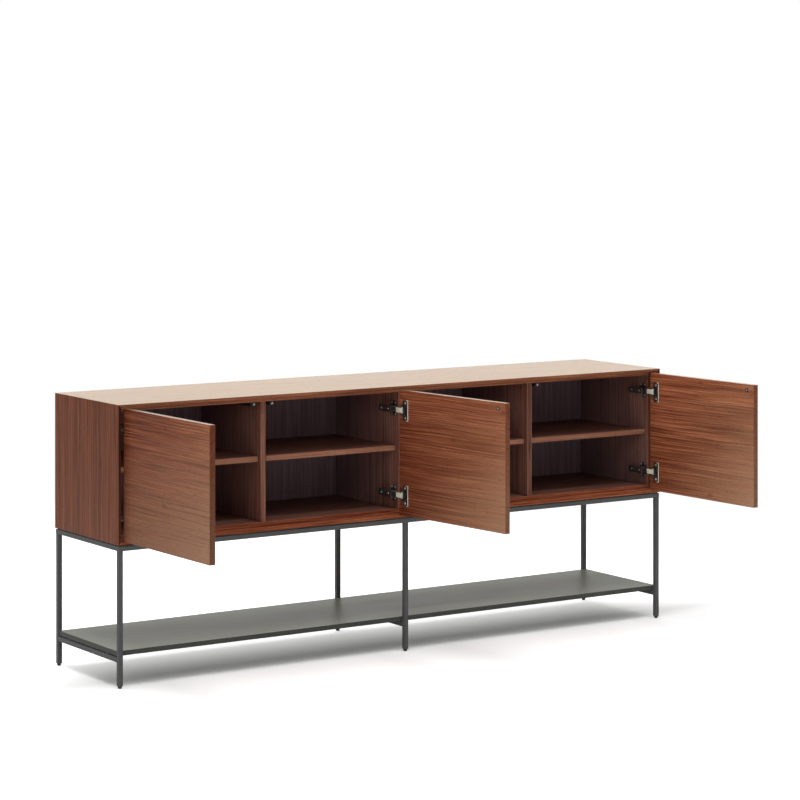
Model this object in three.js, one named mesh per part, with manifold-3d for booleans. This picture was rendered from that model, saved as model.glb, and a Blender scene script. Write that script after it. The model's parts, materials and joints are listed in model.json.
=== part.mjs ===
// Office credenza: a mitred walnut casing with four bays and three doors, on a welded square-tube steel base
// with six legs and a lower shelf. Millimetres, +Z up, +X to the right, +Y to the back.
// The origin is on the floor, under the centre rear leg. The doors stand open.

import * as THREE from "three";
import { mergeVertices } from "three/addons/utils/BufferGeometryUtils.js";
import Module from "manifold-3d";

// Overall sizes
const WIDTH = 1950;
const DEPTH = 400;
const CASING_BOTTOM = 404;
const CASING_HEIGHT = 396;

// Casing
const PANEL = 22;
const LIP = 8;
const REBATE_DEPTH = 34;
const BACK_THICKNESS = 8;
const BACK_INSET = 4;
const DIVIDER = 18;
const SHELF_THICKNESS = 16;
const SHELF_SETBACK = 15;
const LEFT_SHELF_HEIGHT = 191;
const RIGHT_SHELF_HEIGHT = 178;

// Doors
const DOOR_THICKNESS = 18;
const DOOR_STANDOFF = 3;
const DOOR_EDGE_GAP = 2;
const DOOR_TOP_GAP = 3.5;
const DOOR_BOTTOM_GAP = 1;
const DOOR_MEETING_GAP = 2;
const CENTRE_DOOR_COVER = 1;
const PIVOT_FORWARD = 9;
const LEFT_DOOR_ANGLE = 89.5;
const CENTRE_DOOR_ANGLE = 95.5;
const RIGHT_DOOR_ANGLE = 92;

// Concealed hinges
const HINGE_FROM_DOOR_END = 60;
const CUP_DIAMETER = 34.4;
const CUP_DEPTH = 12;
const CUP_WALL = 0.9;
const CUP_FROM_DOOR_EDGE = 22;
const FLANGE_HEIGHT = 62;
const FLANGE_WIDTH = 24;
const FLANGE_THICKNESS = 1.2;
const FLANGE_RIM = 2;
const PLATE_SETBACK = 4;
const PLATE_LENGTH = 36;
const PLATE_HEIGHT = 44;
const PLATE_THICKNESS = 2;
const PLATE_WING_LENGTH = 26;
const ARM_WIDTH = 19;
const ARM_WALL = 2;
const ARM_LENGTH = 68;
const LINK_THICKNESS = 3.7;
const LINK_CLEARANCE = 0.4;
const LINK_LENGTH = 60;
const LINK_HOOK_LENGTH = 4;
const LINK_HOOK_DROP = 5;
const LINK_PIN_DIAMETER = 3;
const LINK_PIN_FROM_DOOR_EDGE = 9.6;
const LINK_PIN_CLEARANCE = 0.25;
const LINK_CLOSED_REACH = 1.5;
const LINK_TIP_PAST_PIVOT = 14;

// Push latches
const LATCH_WIDTH = 14;
const LATCH_HEIGHT = 13;
const LATCH_LENGTH = 82;
const LATCH_SETBACK = 4;
const LATCH_FROM_DIVIDER = 22;
const LATCH_CORNER = 2.5;
const PLUNGER_DIAMETER = 7;
const PLUNGER_CLEARANCE = 0.4;
const PLUNGER_LENGTH = 44;
const PLUNGER_NOSE_ROUND = 1.2;
const PLUNGER_SPRING_ROOM = 13;
const PLUNGER_DOOR_CLEARANCE = 2;

// Steel base and lower shelf
const TUBE = 14;
const TUBE_WALL = 1.5;
const WELD_VENT_DIAMETER = 6;
const LEG_INSET = 2;
const SPACER_HEIGHT = 3;
const SPACER_DIAMETER = 11;
const SPACER_FROM_MIDDLE = 120;
const LOWER_SHELF_BOTTOM = 90;
const LOWER_SHELF_THICKNESS = 14;
const LOWER_SHELF_SIDE_INSET = 3;
const GLIDE_HEIGHT = 7;
const GLIDE_INSET = 0.5;
const GLIDE_TAPER = 1.5;
const GLIDE_EDGE_ROUND = 1;
const GLIDE_STEM_HEIGHT = 14;

// Fits
const FIT = 0.3;
const SHELF_FIT = 0.5;
const ROUND_SEGMENTS = 28;
const LATCH_CORNER_SEGMENTS = 4;
const CUT_OVERRUN = 1;

// Places that follow from the sizes above
const HALF_WIDTH = WIDTH / 2;
const HEIGHT = CASING_BOTTOM + CASING_HEIGHT;
const FRONT = -DEPTH / 2;
const BACK = DEPTH / 2;
const CARCASS_FRONT = FRONT + REBATE_DEPTH;
const INNER_HALF_WIDTH = HALF_WIDTH - PANEL;
const BAY_FLOOR = CASING_BOTTOM + PANEL;
const BAY_CEILING = HEIGHT - PANEL;
const BACK_FACE = BACK - BACK_INSET - BACK_THICKNESS;
const DOOR_WIDTH = (HALF_WIDTH - LIP - DOOR_EDGE_GAP - DOOR_MEETING_GAP + CENTRE_DOOR_COVER) / 2;
const DOOR_BOTTOM = CASING_BOTTOM + LIP + DOOR_BOTTOM_GAP;
const DOOR_TOP = HEIGHT - LIP - DOOR_TOP_GAP;
const DOOR_INNER_FACE = CARCASS_FRONT - DOOR_STANDOFF;
const DOOR_OUTER_FACE = DOOR_INNER_FACE - DOOR_THICKNESS;
const PIVOT_Y = DOOR_OUTER_FACE - PIVOT_FORWARD;
const LINK_REACH_PER_QUARTER_TURN = CARCASS_FRONT - PIVOT_Y + LINK_TIP_PAST_PIVOT - LINK_CLOSED_REACH;
const SIDE_DOOR_EDGE = HALF_WIDTH - LIP - DOOR_EDGE_GAP;
const DIVIDER_X = SIDE_DOOR_EDGE - DOOR_WIDTH - DOOR_MEETING_GAP / 2;
const HINGE_HEIGHTS = {
  upper: DOOR_TOP - HINGE_FROM_DOOR_END,
  lower: DOOR_BOTTOM + HINGE_FROM_DOOR_END,
};
const CUP_BORE_DIAMETER = CUP_DIAMETER + 2 * FIT;
const CUP_BORE_DEPTH = CUP_DEPTH + 2 * FIT;
const CUP_INNER_RADIUS = CUP_DIAMETER / 2 - CUP_WALL;
const ARM_THICKNESS = LINK_THICKNESS + 2 * LINK_CLEARANCE + 2 * ARM_WALL;
const ARM_NOSE_SETBACK = LINK_HOOK_LENGTH - LINK_CLOSED_REACH + LINK_CLEARANCE;
const LEG_X = HALF_WIDTH - LEG_INSET - TUBE / 2;
const LEG_Y = BACK - LEG_INSET - TUBE / 2;
const RAIL_TOP = CASING_BOTTOM - SPACER_HEIGHT;
const LOWER_BAR_TOP = LOWER_SHELF_BOTTOM - SPACER_HEIGHT;

const wasm = await Module();
wasm.setup();

const walnut = new THREE.MeshStandardMaterial({ color: 0x7a5340, roughness: 0.45, metalness: 0 });
const walnutInner = new THREE.MeshStandardMaterial({ color: 0x6b4433, roughness: 0.5, metalness: 0 });
const darkSteel = new THREE.MeshStandardMaterial({ color: 0x4b504e, roughness: 0.5, metalness: 0.6 });
const greyLacquer = new THREE.MeshStandardMaterial({ color: 0x878a80, roughness: 0.35, metalness: 0.1 });
const nickel = new THREE.MeshStandardMaterial({ color: 0xc9c6bf, roughness: 0.25, metalness: 1 });
const blackPlastic = new THREE.MeshStandardMaterial({ color: 0x1a1a1b, roughness: 0.5, metalness: 0 });
const paleRubber = new THREE.MeshStandardMaterial({ color: 0xb9b6ae, roughness: 0.7, metalness: 0 });

const credenza = new THREE.Group();
const assembly = new THREE.Group();
assembly.position.y = -LEG_Y;
credenza.add(assembly);

// A closed geometry as a solid that can be joined and cut.
function solidOf(geometry) {
  const bare = geometry.index ? geometry.toNonIndexed() : geometry.clone();
  bare.deleteAttribute("normal");
  bare.deleteAttribute("uv");
  const merged = mergeVertices(bare, 1e-4);
  return new wasm.Manifold(
    new wasm.Mesh({
      numProp: 3,
      vertProperties: new Float32Array(merged.attributes.position.array),
      triVerts: new Uint32Array(merged.index.array),
    }),
  );
}

// A solid as a geometry again.
function geometryOf(solid) {
  const mesh = solid.getMesh();
  const geometry = new THREE.BufferGeometry();
  geometry.setAttribute("position", new THREE.BufferAttribute(new Float32Array(mesh.vertProperties), 3));
  geometry.setIndex(new THREE.BufferAttribute(new Uint32Array(mesh.triVerts), 1));
  geometry.computeVertexNormals();
  return geometry;
}

// A box between two corners, given as [low, high] along each axis.
function box([x0, x1], [y0, y1], [z0, z1]) {
  const geometry = new THREE.BoxGeometry(x1 - x0, y1 - y0, z1 - z0);
  return geometry.translate((x0 + x1) / 2, (y0 + y1) / 2, (z0 + z1) / 2);
}

// An outline in X and Z carried along Y from y0 to y1.
function extrudeAlongY(points, y0, y1) {
  const shape = new THREE.Shape(points.map(([x, z]) => new THREE.Vector2(x, z)));
  const geometry = new THREE.ExtrudeGeometry(shape, { depth: y1 - y0, bevelEnabled: false });
  return geometry.rotateX(Math.PI / 2).translate(0, y1, 0);
}

function place(parent, name, geometry, material) {
  const mesh = new THREE.Mesh(geometry, material);
  mesh.name = name;
  parent.add(mesh);
  return mesh;
}

// A casing panel: an outline cut from the mitred frame, thinned to the lip in front of the carcass.
function casingPanel(outline, rebate) {
  const panel = solidOf(extrudeAlongY(outline, FRONT, BACK));
  return geometryOf(panel.subtract(solidOf(rebate)));
}

function addCasing() {
  const rebateY = [FRONT - CUT_OVERRUN, CARCASS_FRONT];
  const wholeX = [-HALF_WIDTH - CUT_OVERRUN, HALF_WIDTH + CUT_OVERRUN];
  const wholeZ = [CASING_BOTTOM - CUT_OVERRUN, HEIGHT + CUT_OVERRUN];
  for (const [name, outer, inner, lip] of [
    ["top_panel", HEIGHT, BAY_CEILING, HEIGHT - LIP],
    ["bottom_panel", CASING_BOTTOM, BAY_FLOOR, CASING_BOTTOM + LIP],
  ]) {
    const outline = [
      [-HALF_WIDTH + FIT, outer],
      [HALF_WIDTH - FIT, outer],
      [INNER_HALF_WIDTH - FIT, inner],
      [-INNER_HALF_WIDTH + FIT, inner],
    ];
    const beyond = inner + CUT_OVERRUN * Math.sign(inner - outer);
    const rebateZ = [Math.min(lip, beyond), Math.max(lip, beyond)];
    place(assembly, name, casingPanel(outline, box(wholeX, rebateY, rebateZ)), walnut);
  }
  for (const [name, side] of [["left_side", -1], ["right_side", 1]]) {
    const outline = [
      [side * HALF_WIDTH, CASING_BOTTOM],
      [side * HALF_WIDTH, HEIGHT],
      [side * INNER_HALF_WIDTH, BAY_CEILING],
      [side * INNER_HALF_WIDTH, BAY_FLOOR],
    ];
    const ends = [side * (HALF_WIDTH - LIP), side * (INNER_HALF_WIDTH - CUT_OVERRUN)];
    const rebateX = [Math.min(...ends), Math.max(...ends)];
    place(assembly, name, casingPanel(outline, box(rebateX, rebateY, wholeZ)), walnut);
  }
  const bayZ = [BAY_FLOOR + FIT, BAY_CEILING - FIT];
  const innerX = [-INNER_HALF_WIDTH + FIT, INNER_HALF_WIDTH - FIT];
  place(assembly, "back_panel", box(innerX, [BACK_FACE, BACK - BACK_INSET], bayZ), walnutInner);
  for (const [name, x] of [
    ["left_divider", -DIVIDER_X],
    ["centre_partition", 0],
    ["right_divider", DIVIDER_X],
  ]) {
    const span = [x - DIVIDER / 2, x + DIVIDER / 2];
    place(assembly, name, box(span, [CARCASS_FRONT, BACK_FACE - FIT], bayZ), walnutInner);
  }
}

function addShelves() {
  const walls = [
    [-INNER_HALF_WIDTH, -DIVIDER_X - DIVIDER / 2],
    [-DIVIDER_X + DIVIDER / 2, -DIVIDER / 2],
    [DIVIDER / 2, DIVIDER_X - DIVIDER / 2],
    [DIVIDER_X + DIVIDER / 2, INNER_HALF_WIDTH],
  ];
  walls.forEach(([left, right], bay) => {
    const top = BAY_FLOOR + (right <= 0 ? LEFT_SHELF_HEIGHT : RIGHT_SHELF_HEIGHT);
    const shelf = box(
      [left + SHELF_FIT, right - SHELF_FIT],
      [CARCASS_FRONT + SHELF_SETBACK, BACK_FACE - SHELF_FIT],
      [top - SHELF_THICKNESS, top],
    );
    place(assembly, `bay_${bay + 1}_shelf`, shelf, walnutInner);
  });
}

// A round bar along Y, from y0 to y1.
function rodAlongY(diameter, x, z, y0, y1) {
  const rod = new THREE.CylinderGeometry(diameter / 2, diameter / 2, y1 - y0, ROUND_SEGMENTS);
  return rod.translate(x, (y0 + y1) / 2, z);
}

// A hollow cup, open towards +Y, whose rim lies on y = 0.
function cupShell(x, z) {
  const outer = CUP_DIAMETER / 2;
  const profile = [
    [0, -CUP_DEPTH],
    [outer, -CUP_DEPTH],
    [outer, FLANGE_THICKNESS / 2],
    [CUP_INNER_RADIUS, FLANGE_THICKNESS / 2],
    [CUP_INNER_RADIUS, -CUP_DEPTH + CUP_WALL],
    [0, -CUP_DEPTH + CUP_WALL],
  ].map(([radius, y]) => new THREE.Vector2(radius, y));
  return new THREE.LatheGeometry(profile, ROUND_SEGMENTS).translate(x, 0, z);
}

// The cup with its flange: a tall plate and a round rim, both with the cup's mouth cut through. The plate's far
// edge, on the side that turn points to, is level with the rim's.
function hingeCup(x, z, turn) {
  const rimRadius = CUP_DIAMETER / 2 + FLANGE_RIM;
  const edges = [x + turn * (rimRadius - FLANGE_WIDTH), x + turn * rimRadius];
  const plate = box(
    [Math.min(...edges), Math.max(...edges)],
    [FIT / 2, FLANGE_THICKNESS],
    [z - FLANGE_HEIGHT / 2, z + FLANGE_HEIGHT / 2],
  );
  const rim = rodAlongY(2 * rimRadius, x, z, FIT / 2, FLANGE_THICKNESS);
  const mouth = rodAlongY(2 * CUP_INNER_RADIUS, x, z, -FIT, FLANGE_THICKNESS + CUT_OVERRUN);
  const flange = solidOf(plate).add(solidOf(rim)).subtract(solidOf(mouth));
  return geometryOf(flange.add(solidOf(cupShell(x, z))));
}

// The mounting plate and the hollow arm on it. Local X runs away from the panel, local Y to the back from the
// carcass's front edge. standoff is how far the arm lies from the panel.
function hingeArm(standoff) {
  const half = ARM_WIDTH / 2;
  const plateY = [PLATE_SETBACK, PLATE_SETBACK + PLATE_LENGTH];
  const middle = (plateY[0] + plateY[1]) / 2;
  const wingY = [middle - PLATE_WING_LENGTH / 2, middle + PLATE_WING_LENGTH / 2];
  const armX = [standoff, standoff + ARM_THICKNESS];
  const armY = [ARM_NOSE_SETBACK, ARM_NOSE_SETBACK + ARM_LENGTH];
  const tongue = box([FIT, FIT + PLATE_THICKNESS], plateY, [-half, half]);
  const wings = box([FIT, FIT + PLATE_THICKNESS], wingY, [-PLATE_HEIGHT / 2, PLATE_HEIGHT / 2]);
  const post = box([FIT, standoff + ARM_WALL], plateY, [-half + ARM_WALL, half - ARM_WALL]);
  const arm = box(armX, armY, [-half, half]);
  const channel = box(
    [armX[0] + ARM_WALL, armX[1] - ARM_WALL],
    [armY[0] - CUT_OVERRUN, armY[1] + CUT_OVERRUN],
    [-half + ARM_WALL, half - ARM_WALL],
  );
  const hollowArm = solidOf(arm).subtract(solidOf(channel));
  return geometryOf(hollowArm.add(solidOf(tongue)).add(solidOf(wings)).add(solidOf(post)));
}

// The link: a flat bar that runs in the arm, with a hook and a cross pin that reach into the cup. reach is
// how far its tip stands in front of the carcass. The pin just clears the cup's wall where they come nearest.
function hingeLink(standoff, reach) {
  const half = ARM_WIDTH / 2 - ARM_WALL - LINK_CLEARANCE;
  const x0 = standoff + ARM_WALL + LINK_CLEARANCE;
  const hookX = [x0 - LINK_HOOK_DROP, x0 + LINK_THICKNESS];
  const hookY = [-reach, LINK_HOOK_LENGTH - reach];
  const bar = box([x0, x0 + LINK_THICKNESS], [-reach, LINK_LENGTH - reach], [-half, half]);
  const hook = box(hookX, hookY, [-half, half]);
  const radius = LINK_PIN_DIAMETER / 2;
  const pinHalf = Math.sqrt(
    (CUP_INNER_RADIUS - LINK_PIN_CLEARANCE) ** 2 - (CUP_FROM_DOOR_EDGE - LINK_PIN_FROM_DOOR_EDGE) ** 2,
  );
  const pin = new THREE.CylinderGeometry(radius, radius, 2 * pinHalf, ROUND_SEGMENTS);
  pin.rotateX(Math.PI / 2).translate(hookX[0] + radius, (hookY[0] + hookY[1]) / 2, 0);
  return geometryOf(solidOf(bar).add(solidOf(hook)).add(solidOf(pin)));
}

// Doors. panelFace is the X of the upright that carries the hinges, closedEdge that of the door's hinged edge
// when shut, and turn is +1 where the door reaches towards +X from its hinges.
const DOORS = [
  {
    name: "left_door",
    panelFace: -INNER_HALF_WIDTH,
    closedEdge: -SIDE_DOOR_EDGE,
    turn: 1,
    angle: LEFT_DOOR_ANGLE,
  },
  {
    name: "centre_door",
    panelFace: -DIVIDER / 2,
    closedEdge: CENTRE_DOOR_COVER,
    turn: -1,
    angle: CENTRE_DOOR_ANGLE,
  },
  {
    name: "right_door",
    panelFace: INNER_HALF_WIDTH,
    closedEdge: SIDE_DOOR_EDGE,
    turn: -1,
    angle: RIGHT_DOOR_ANGLE,
  },
];

function addDoor({ name, panelFace, closedEdge, turn, angle }) {
  const swing = new THREE.Group();
  swing.position.set(closedEdge, PIVOT_Y, 0);
  swing.rotation.z = -turn * THREE.MathUtils.degToRad(angle);
  assembly.add(swing);

  // In the swing group the shut door lies behind the pivot, reaching along turn times X.
  const outerFace = DOOR_OUTER_FACE - PIVOT_Y;
  const innerFace = DOOR_INNER_FACE - PIVOT_Y;
  const span = turn > 0 ? [0, DOOR_WIDTH] : [-DOOR_WIDTH, 0];
  const cupX = turn * CUP_FROM_DOOR_EDGE;
  let door = solidOf(box(span, [outerFace, innerFace], [DOOR_BOTTOM, DOOR_TOP]));
  for (const [level, height] of Object.entries(HINGE_HEIGHTS)) {
    const boreY = [innerFace - CUP_BORE_DEPTH, innerFace + CUT_OVERRUN];
    door = door.subtract(solidOf(rodAlongY(CUP_BORE_DIAMETER, cupX, height, ...boreY)));
    const cup = hingeCup(cupX, height, turn).translate(0, innerFace, 0);
    place(swing, `${name}_${level}_hinge_cup`, cup, nickel);
  }
  place(swing, name, geometryOf(door), walnut);

  // The arm lies level with the inner face of a door that stands at a right angle.
  const standoff = innerFace - Math.abs(panelFace - closedEdge);
  const reach = LINK_CLOSED_REACH + (LINK_REACH_PER_QUARTER_TURN * angle) / 90;
  for (const [level, height] of Object.entries(HINGE_HEIGHTS)) {
    const mount = new THREE.Group();
    mount.position.set(panelFace, CARCASS_FRONT, height);
    assembly.add(mount);
    for (const [piece, geometry] of [
      ["hinge_arm", hingeArm(standoff)],
      ["hinge_link", hingeLink(standoff, reach)],
    ]) {
      const facing = turn > 0 ? geometry : mirroredInX(geometry);
      place(mount, `${name}_${level}_${piece}`, facing, nickel);
    }
  }
}

// The same shape for a hinge on the other hand, with its faces still pointing out.
function mirroredInX(geometry) {
  const position = geometry.attributes.position.clone();
  for (let i = 0; i < position.count; i += 1) {
    position.setX(i, -position.getX(i));
  }
  const index = geometry.index.clone();
  for (let i = 0; i < index.count; i += 3) {
    const first = index.getX(i);
    index.setX(i, index.getX(i + 1));
    index.setX(i + 1, first);
  }
  const mirrored = new THREE.BufferGeometry();
  mirrored.setAttribute("position", position);
  mirrored.setIndex(index);
  mirrored.computeVertexNormals();
  return mirrored;
}

// A push latch under the top: a long body with rounded edges and a sprung plunger in its bore.
function addLatch(name, x) {
  const top = BAY_CEILING - FIT;
  const z = top - LATCH_HEIGHT / 2;
  const front = CARCASS_FRONT + LATCH_SETBACK;
  const outline = new THREE.Shape();
  const [left, right, bottom] = [x - LATCH_WIDTH / 2, x + LATCH_WIDTH / 2, top - LATCH_HEIGHT];
  outline.moveTo(left, top);
  outline.lineTo(left, bottom + LATCH_CORNER);
  outline.absarc(left + LATCH_CORNER, bottom + LATCH_CORNER, LATCH_CORNER, Math.PI, 1.5 * Math.PI);
  outline.absarc(right - LATCH_CORNER, bottom + LATCH_CORNER, LATCH_CORNER, 1.5 * Math.PI, 2 * Math.PI);
  outline.lineTo(right, top);
  const options = { depth: LATCH_LENGTH, bevelEnabled: false, curveSegments: LATCH_CORNER_SEGMENTS };
  const block = new THREE.ExtrudeGeometry(outline, options);
  block.rotateX(Math.PI / 2).translate(0, front + LATCH_LENGTH, 0);
  const tip = DOOR_INNER_FACE + PLUNGER_DOOR_CLEARANCE;
  const boreDiameter = PLUNGER_DIAMETER + 2 * PLUNGER_CLEARANCE;
  const boreEnd = tip + PLUNGER_LENGTH + PLUNGER_SPRING_ROOM;
  const bore = rodAlongY(boreDiameter, x, z, front - CUT_OVERRUN, boreEnd);
  place(assembly, `${name}_body`, geometryOf(solidOf(block).subtract(solidOf(bore))), blackPlastic);

  const radius = PLUNGER_DIAMETER / 2;
  const profile = [
    [0, 0],
    [radius - PLUNGER_NOSE_ROUND, 0],
    [radius, PLUNGER_NOSE_ROUND],
    [radius, PLUNGER_LENGTH],
    [0, PLUNGER_LENGTH],
  ].map(([r, y]) => new THREE.Vector2(r, y));
  const plunger = new THREE.LatheGeometry(profile, ROUND_SEGMENTS).translate(x, tip, z);
  place(assembly, `${name}_plunger`, plunger, paleRubber);
}

function addLatches() {
  const offset = DIVIDER / 2 + LATCH_FROM_DIVIDER;
  addLatch("left_door_latch", -DIVIDER_X - offset);
  addLatch("centre_door_latch", -DIVIDER_X + offset);
  addLatch("right_door_latch", DIVIDER_X + offset);
}

// A tapered glide with a rounded foot edge, standing on the floor, with a stem that goes up into the leg.
function glide(x, y) {
  const top = TUBE / 2 - GLIDE_INSET;
  const foot = top - GLIDE_TAPER;
  const stem = TUBE / 2 - TUBE_WALL - FIT;
  const headTop = GLIDE_HEIGHT - FIT;
  const profile = [
    [0, 0],
    [foot - GLIDE_EDGE_ROUND, 0],
    [foot, GLIDE_EDGE_ROUND],
    [top, headTop],
    [stem, headTop],
    [stem, headTop + GLIDE_STEM_HEIGHT],
    [0, headTop + GLIDE_STEM_HEIGHT],
  ].map(([radius, z]) => new THREE.Vector2(radius, z));
  return new THREE.LatheGeometry(profile, ROUND_SEGMENTS).rotateX(Math.PI / 2).translate(x, y, 0);
}

// A length of square tube between two corners, open at both ends of the axis it runs along (0, 1 or 2).
function openTubeSolid(spans, along) {
  const inside = spans.map(([low, high], axis) => {
    const margin = axis === along ? -CUT_OVERRUN : TUBE_WALL;
    return [low + margin, high - margin];
  });
  return solidOf(box(...spans)).subtract(solidOf(box(...inside)));
}

// A cross bar along Y with a round spacer welded on near each end, on which the casing or the shelf rests.
function spacedBar(spans) {
  const [[x0, x1], , [, top]] = spans;
  const spacerZ = [top - TUBE_WALL / 2, top + SPACER_HEIGHT];
  const radius = SPACER_DIAMETER / 2;
  let bar = openTubeSolid(spans, 1);
  for (const y of [-SPACER_FROM_MIDDLE, SPACER_FROM_MIDDLE]) {
    const spacer = new THREE.CylinderGeometry(radius, radius, spacerZ[1] - spacerZ[0], ROUND_SEGMENTS);
    spacer.rotateX(Math.PI / 2).translate((x0 + x1) / 2, y, (spacerZ[0] + spacerZ[1]) / 2);
    bar = bar.add(solidOf(spacer));
  }
  return geometryOf(bar);
}

// A rail along X with welded ends, and a vent hole in its underside over each leg.
function ventedRail(spans, legPlaces) {
  const inside = spans.map(([low, high]) => [low + TUBE_WALL, high - TUBE_WALL]);
  const [, [y0, y1], [z0]] = spans;
  const radius = WELD_VENT_DIAMETER / 2;
  let rail = solidOf(box(...spans)).subtract(solidOf(box(...inside)));
  for (const x of legPlaces) {
    const vent = new THREE.CylinderGeometry(radius, radius, TUBE, ROUND_SEGMENTS);
    rail = rail.subtract(solidOf(vent.rotateX(Math.PI / 2).translate(x, (y0 + y1) / 2, z0)));
  }
  return geometryOf(rail);
}

function addBase() {
  const across = (middle) => [middle - TUBE / 2, middle + TUBE / 2];
  const columns = { left: -LEG_X, centre: 0, right: LEG_X };
  const rows = { front: -LEG_Y, rear: LEG_Y };
  const legZ = [GLIDE_HEIGHT, RAIL_TOP - TUBE];
  const railX = [-LEG_X - TUBE / 2, LEG_X + TUBE / 2];
  const railZ = [RAIL_TOP - TUBE, RAIL_TOP];
  const barZ = [LOWER_BAR_TOP - TUBE, LOWER_BAR_TOP];
  const crossY = [-LEG_Y + TUBE / 2, LEG_Y - TUBE / 2];
  for (const [row, y] of Object.entries(rows)) {
    const rail = ventedRail([railX, across(y), railZ], Object.values(columns));
    place(assembly, `${row}_rail`, rail, darkSteel);
    for (const [column, x] of Object.entries(columns)) {
      const leg = geometryOf(openTubeSolid([across(x), across(y), legZ], 2));
      place(assembly, `${row}_${column}_leg`, leg, darkSteel);
      place(assembly, `${row}_${column}_glide`, glide(x, y), blackPlastic);
    }
  }
  for (const [column, x] of Object.entries(columns)) {
    place(assembly, `${column}_cross_rail`, spacedBar([across(x), crossY, railZ]), darkSteel);
    place(assembly, `${column}_lower_bar`, spacedBar([across(x), crossY, barZ]), darkSteel);
  }
  const shelfEnd = LEG_X + TUBE / 2 - LOWER_SHELF_SIDE_INSET;
  const shelf = box(
    [-shelfEnd, shelfEnd],
    [crossY[0] + SHELF_FIT, crossY[1] - SHELF_FIT],
    [LOWER_SHELF_BOTTOM, LOWER_SHELF_BOTTOM + LOWER_SHELF_THICKNESS],
  );
  place(assembly, "lower_shelf", shelf, greyLacquer);
}

addCasing();
addShelves();
DOORS.forEach(addDoor);
addLatches();
addBase();

export default credenza;
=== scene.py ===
"""Looks of a long walnut credenza on a slim steel base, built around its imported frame.

Each sub-assembly is a class that works its pieces out with numpy, in metres and in the frame's own axes:
+X to the right, +Y to the back, +Z up. Places come from the frame's nodes and joints, and finishes are
classes of their own.
"""

from __future__ import annotations

import json
import logging
import math
from dataclasses import dataclass, field
from enum import Enum
from typing import Any, Iterable, Sequence

import bpy
import numpy as np
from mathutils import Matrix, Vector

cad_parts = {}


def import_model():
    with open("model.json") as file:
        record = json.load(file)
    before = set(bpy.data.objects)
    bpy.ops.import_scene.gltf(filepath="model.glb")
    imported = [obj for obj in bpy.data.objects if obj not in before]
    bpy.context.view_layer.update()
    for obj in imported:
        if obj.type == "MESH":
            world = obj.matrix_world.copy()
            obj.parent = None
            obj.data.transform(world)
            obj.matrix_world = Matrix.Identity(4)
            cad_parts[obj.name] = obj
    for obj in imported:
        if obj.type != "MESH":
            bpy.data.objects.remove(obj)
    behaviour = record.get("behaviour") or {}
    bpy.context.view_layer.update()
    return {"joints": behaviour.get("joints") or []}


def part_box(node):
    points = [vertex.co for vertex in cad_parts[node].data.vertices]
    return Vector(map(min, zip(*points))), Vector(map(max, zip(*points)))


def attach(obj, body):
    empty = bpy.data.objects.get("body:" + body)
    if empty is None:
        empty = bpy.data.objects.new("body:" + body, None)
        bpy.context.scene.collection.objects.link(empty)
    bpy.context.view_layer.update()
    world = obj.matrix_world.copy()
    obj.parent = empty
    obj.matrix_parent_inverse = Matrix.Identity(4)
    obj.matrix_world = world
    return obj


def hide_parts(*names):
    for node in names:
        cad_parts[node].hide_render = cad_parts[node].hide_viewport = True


LOG = logging.getLogger("credenza")

Array = np.ndarray
Colour = tuple[float, float, float]
Display = tuple[int, int, int]
Size = tuple[float, float]
Change = tuple[float, float, float, float]
Material = bpy.types.Material
Rings = Sequence[tuple[float | Array, float]]

MM = 0.001
X_AXIS, Y_AXIS, Z_AXIS = np.eye(3)
WHITE = (1.0, 1.0, 1.0)
SIDES = (-1.0, 1.0)
LEVELS = ("upper", "lower")
ARC_STEPS = 3
ROUND_STEPS = 48
SHARP_ANGLE = math.radians(42.0)
EASE_SHARE = 0.9
FACE_REACH = 0.05 * MM
LOG_STEP = np.array((1.37, 0.73, 0.41))
GRAIN = "grain"
LIGHT_LEAN = "tone"
CARCASS = "carcass"


def linear(display: Display) -> Colour:
    """A display colour's channels, from 0 to 255, in linear light."""
    share = np.array(display) / 255.0
    return tuple(np.where(share <= 0.04045, share / 12.92, ((share + 0.055) / 1.055) ** 2.4).tolist())


class Slot(str, Enum):
    """The record's material slots."""

    VENEER = "walnut_veneer"
    INNER = "walnut_inner"
    STEEL = "dark_steel"
    LACQUER = "grey_lacquer"
    NICKEL = "nickel"
    PLASTIC = "black_plastic"
    RUBBER = "pale_rubber"


@dataclass(frozen=True)
class Axes:
    """A local frame: an origin and the row-frame directions of u, v and w."""

    origin: Array
    u: Array = field(default_factory=lambda: X_AXIS)
    v: Array = field(default_factory=lambda: Y_AXIS)
    w: Array = field(default_factory=lambda: Z_AXIS)

    def place(self, local: Array) -> Array:
        """Carry rows of u, v and w into the row frame."""
        return self.origin + local @ np.stack((self.u, self.v, self.w))

    def measure(self, points: Array) -> Array:
        """Read rows of x, y and z in this frame."""
        return (points - self.origin) @ np.stack((self.u, self.v, self.w)).T

    def at(self, u: float, v: float, w: float) -> Axes:
        """The same directions from another place in this frame."""
        return Axes(self.place(np.array((u, v, w))), self.u, self.v, self.w)

    def ordered(self, letters: str) -> Axes:
        """The same frame with its directions in another order, such as vwu."""
        return Axes(self.origin, *(getattr(self, letter) for letter in letters))


ROW_FRAME = Axes(np.zeros(3))


@dataclass
class Shell:
    """One or more closed surfaces: points and the faces between them."""

    points: Array
    faces: list[list[int]]

    def volume(self) -> float:
        """The enclosed volume, negative where the faces point inwards.

        Returns:
            A sixth of the sum of the triple products of each face's fan of triangles.
        """
        total = 0.0
        for face in self.faces:
            corners = self.points[face]
            total += float(np.sum(np.cross(corners[1:-1], corners[2:]) @ corners[0]))
        return total / 6.0

    def placed(self, axes: Axes) -> Shell:
        """Carry the surface into the row frame, with its faces pointing out.

        Args:
            axes: The local frame that the points are written in.

        Returns:
            The placed surface.
        """
        moved = Shell(axes.place(self.points), self.faces)
        if moved.volume() < 0.0:
            moved.faces = [face[::-1] for face in moved.faces]
        return moved


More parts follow.
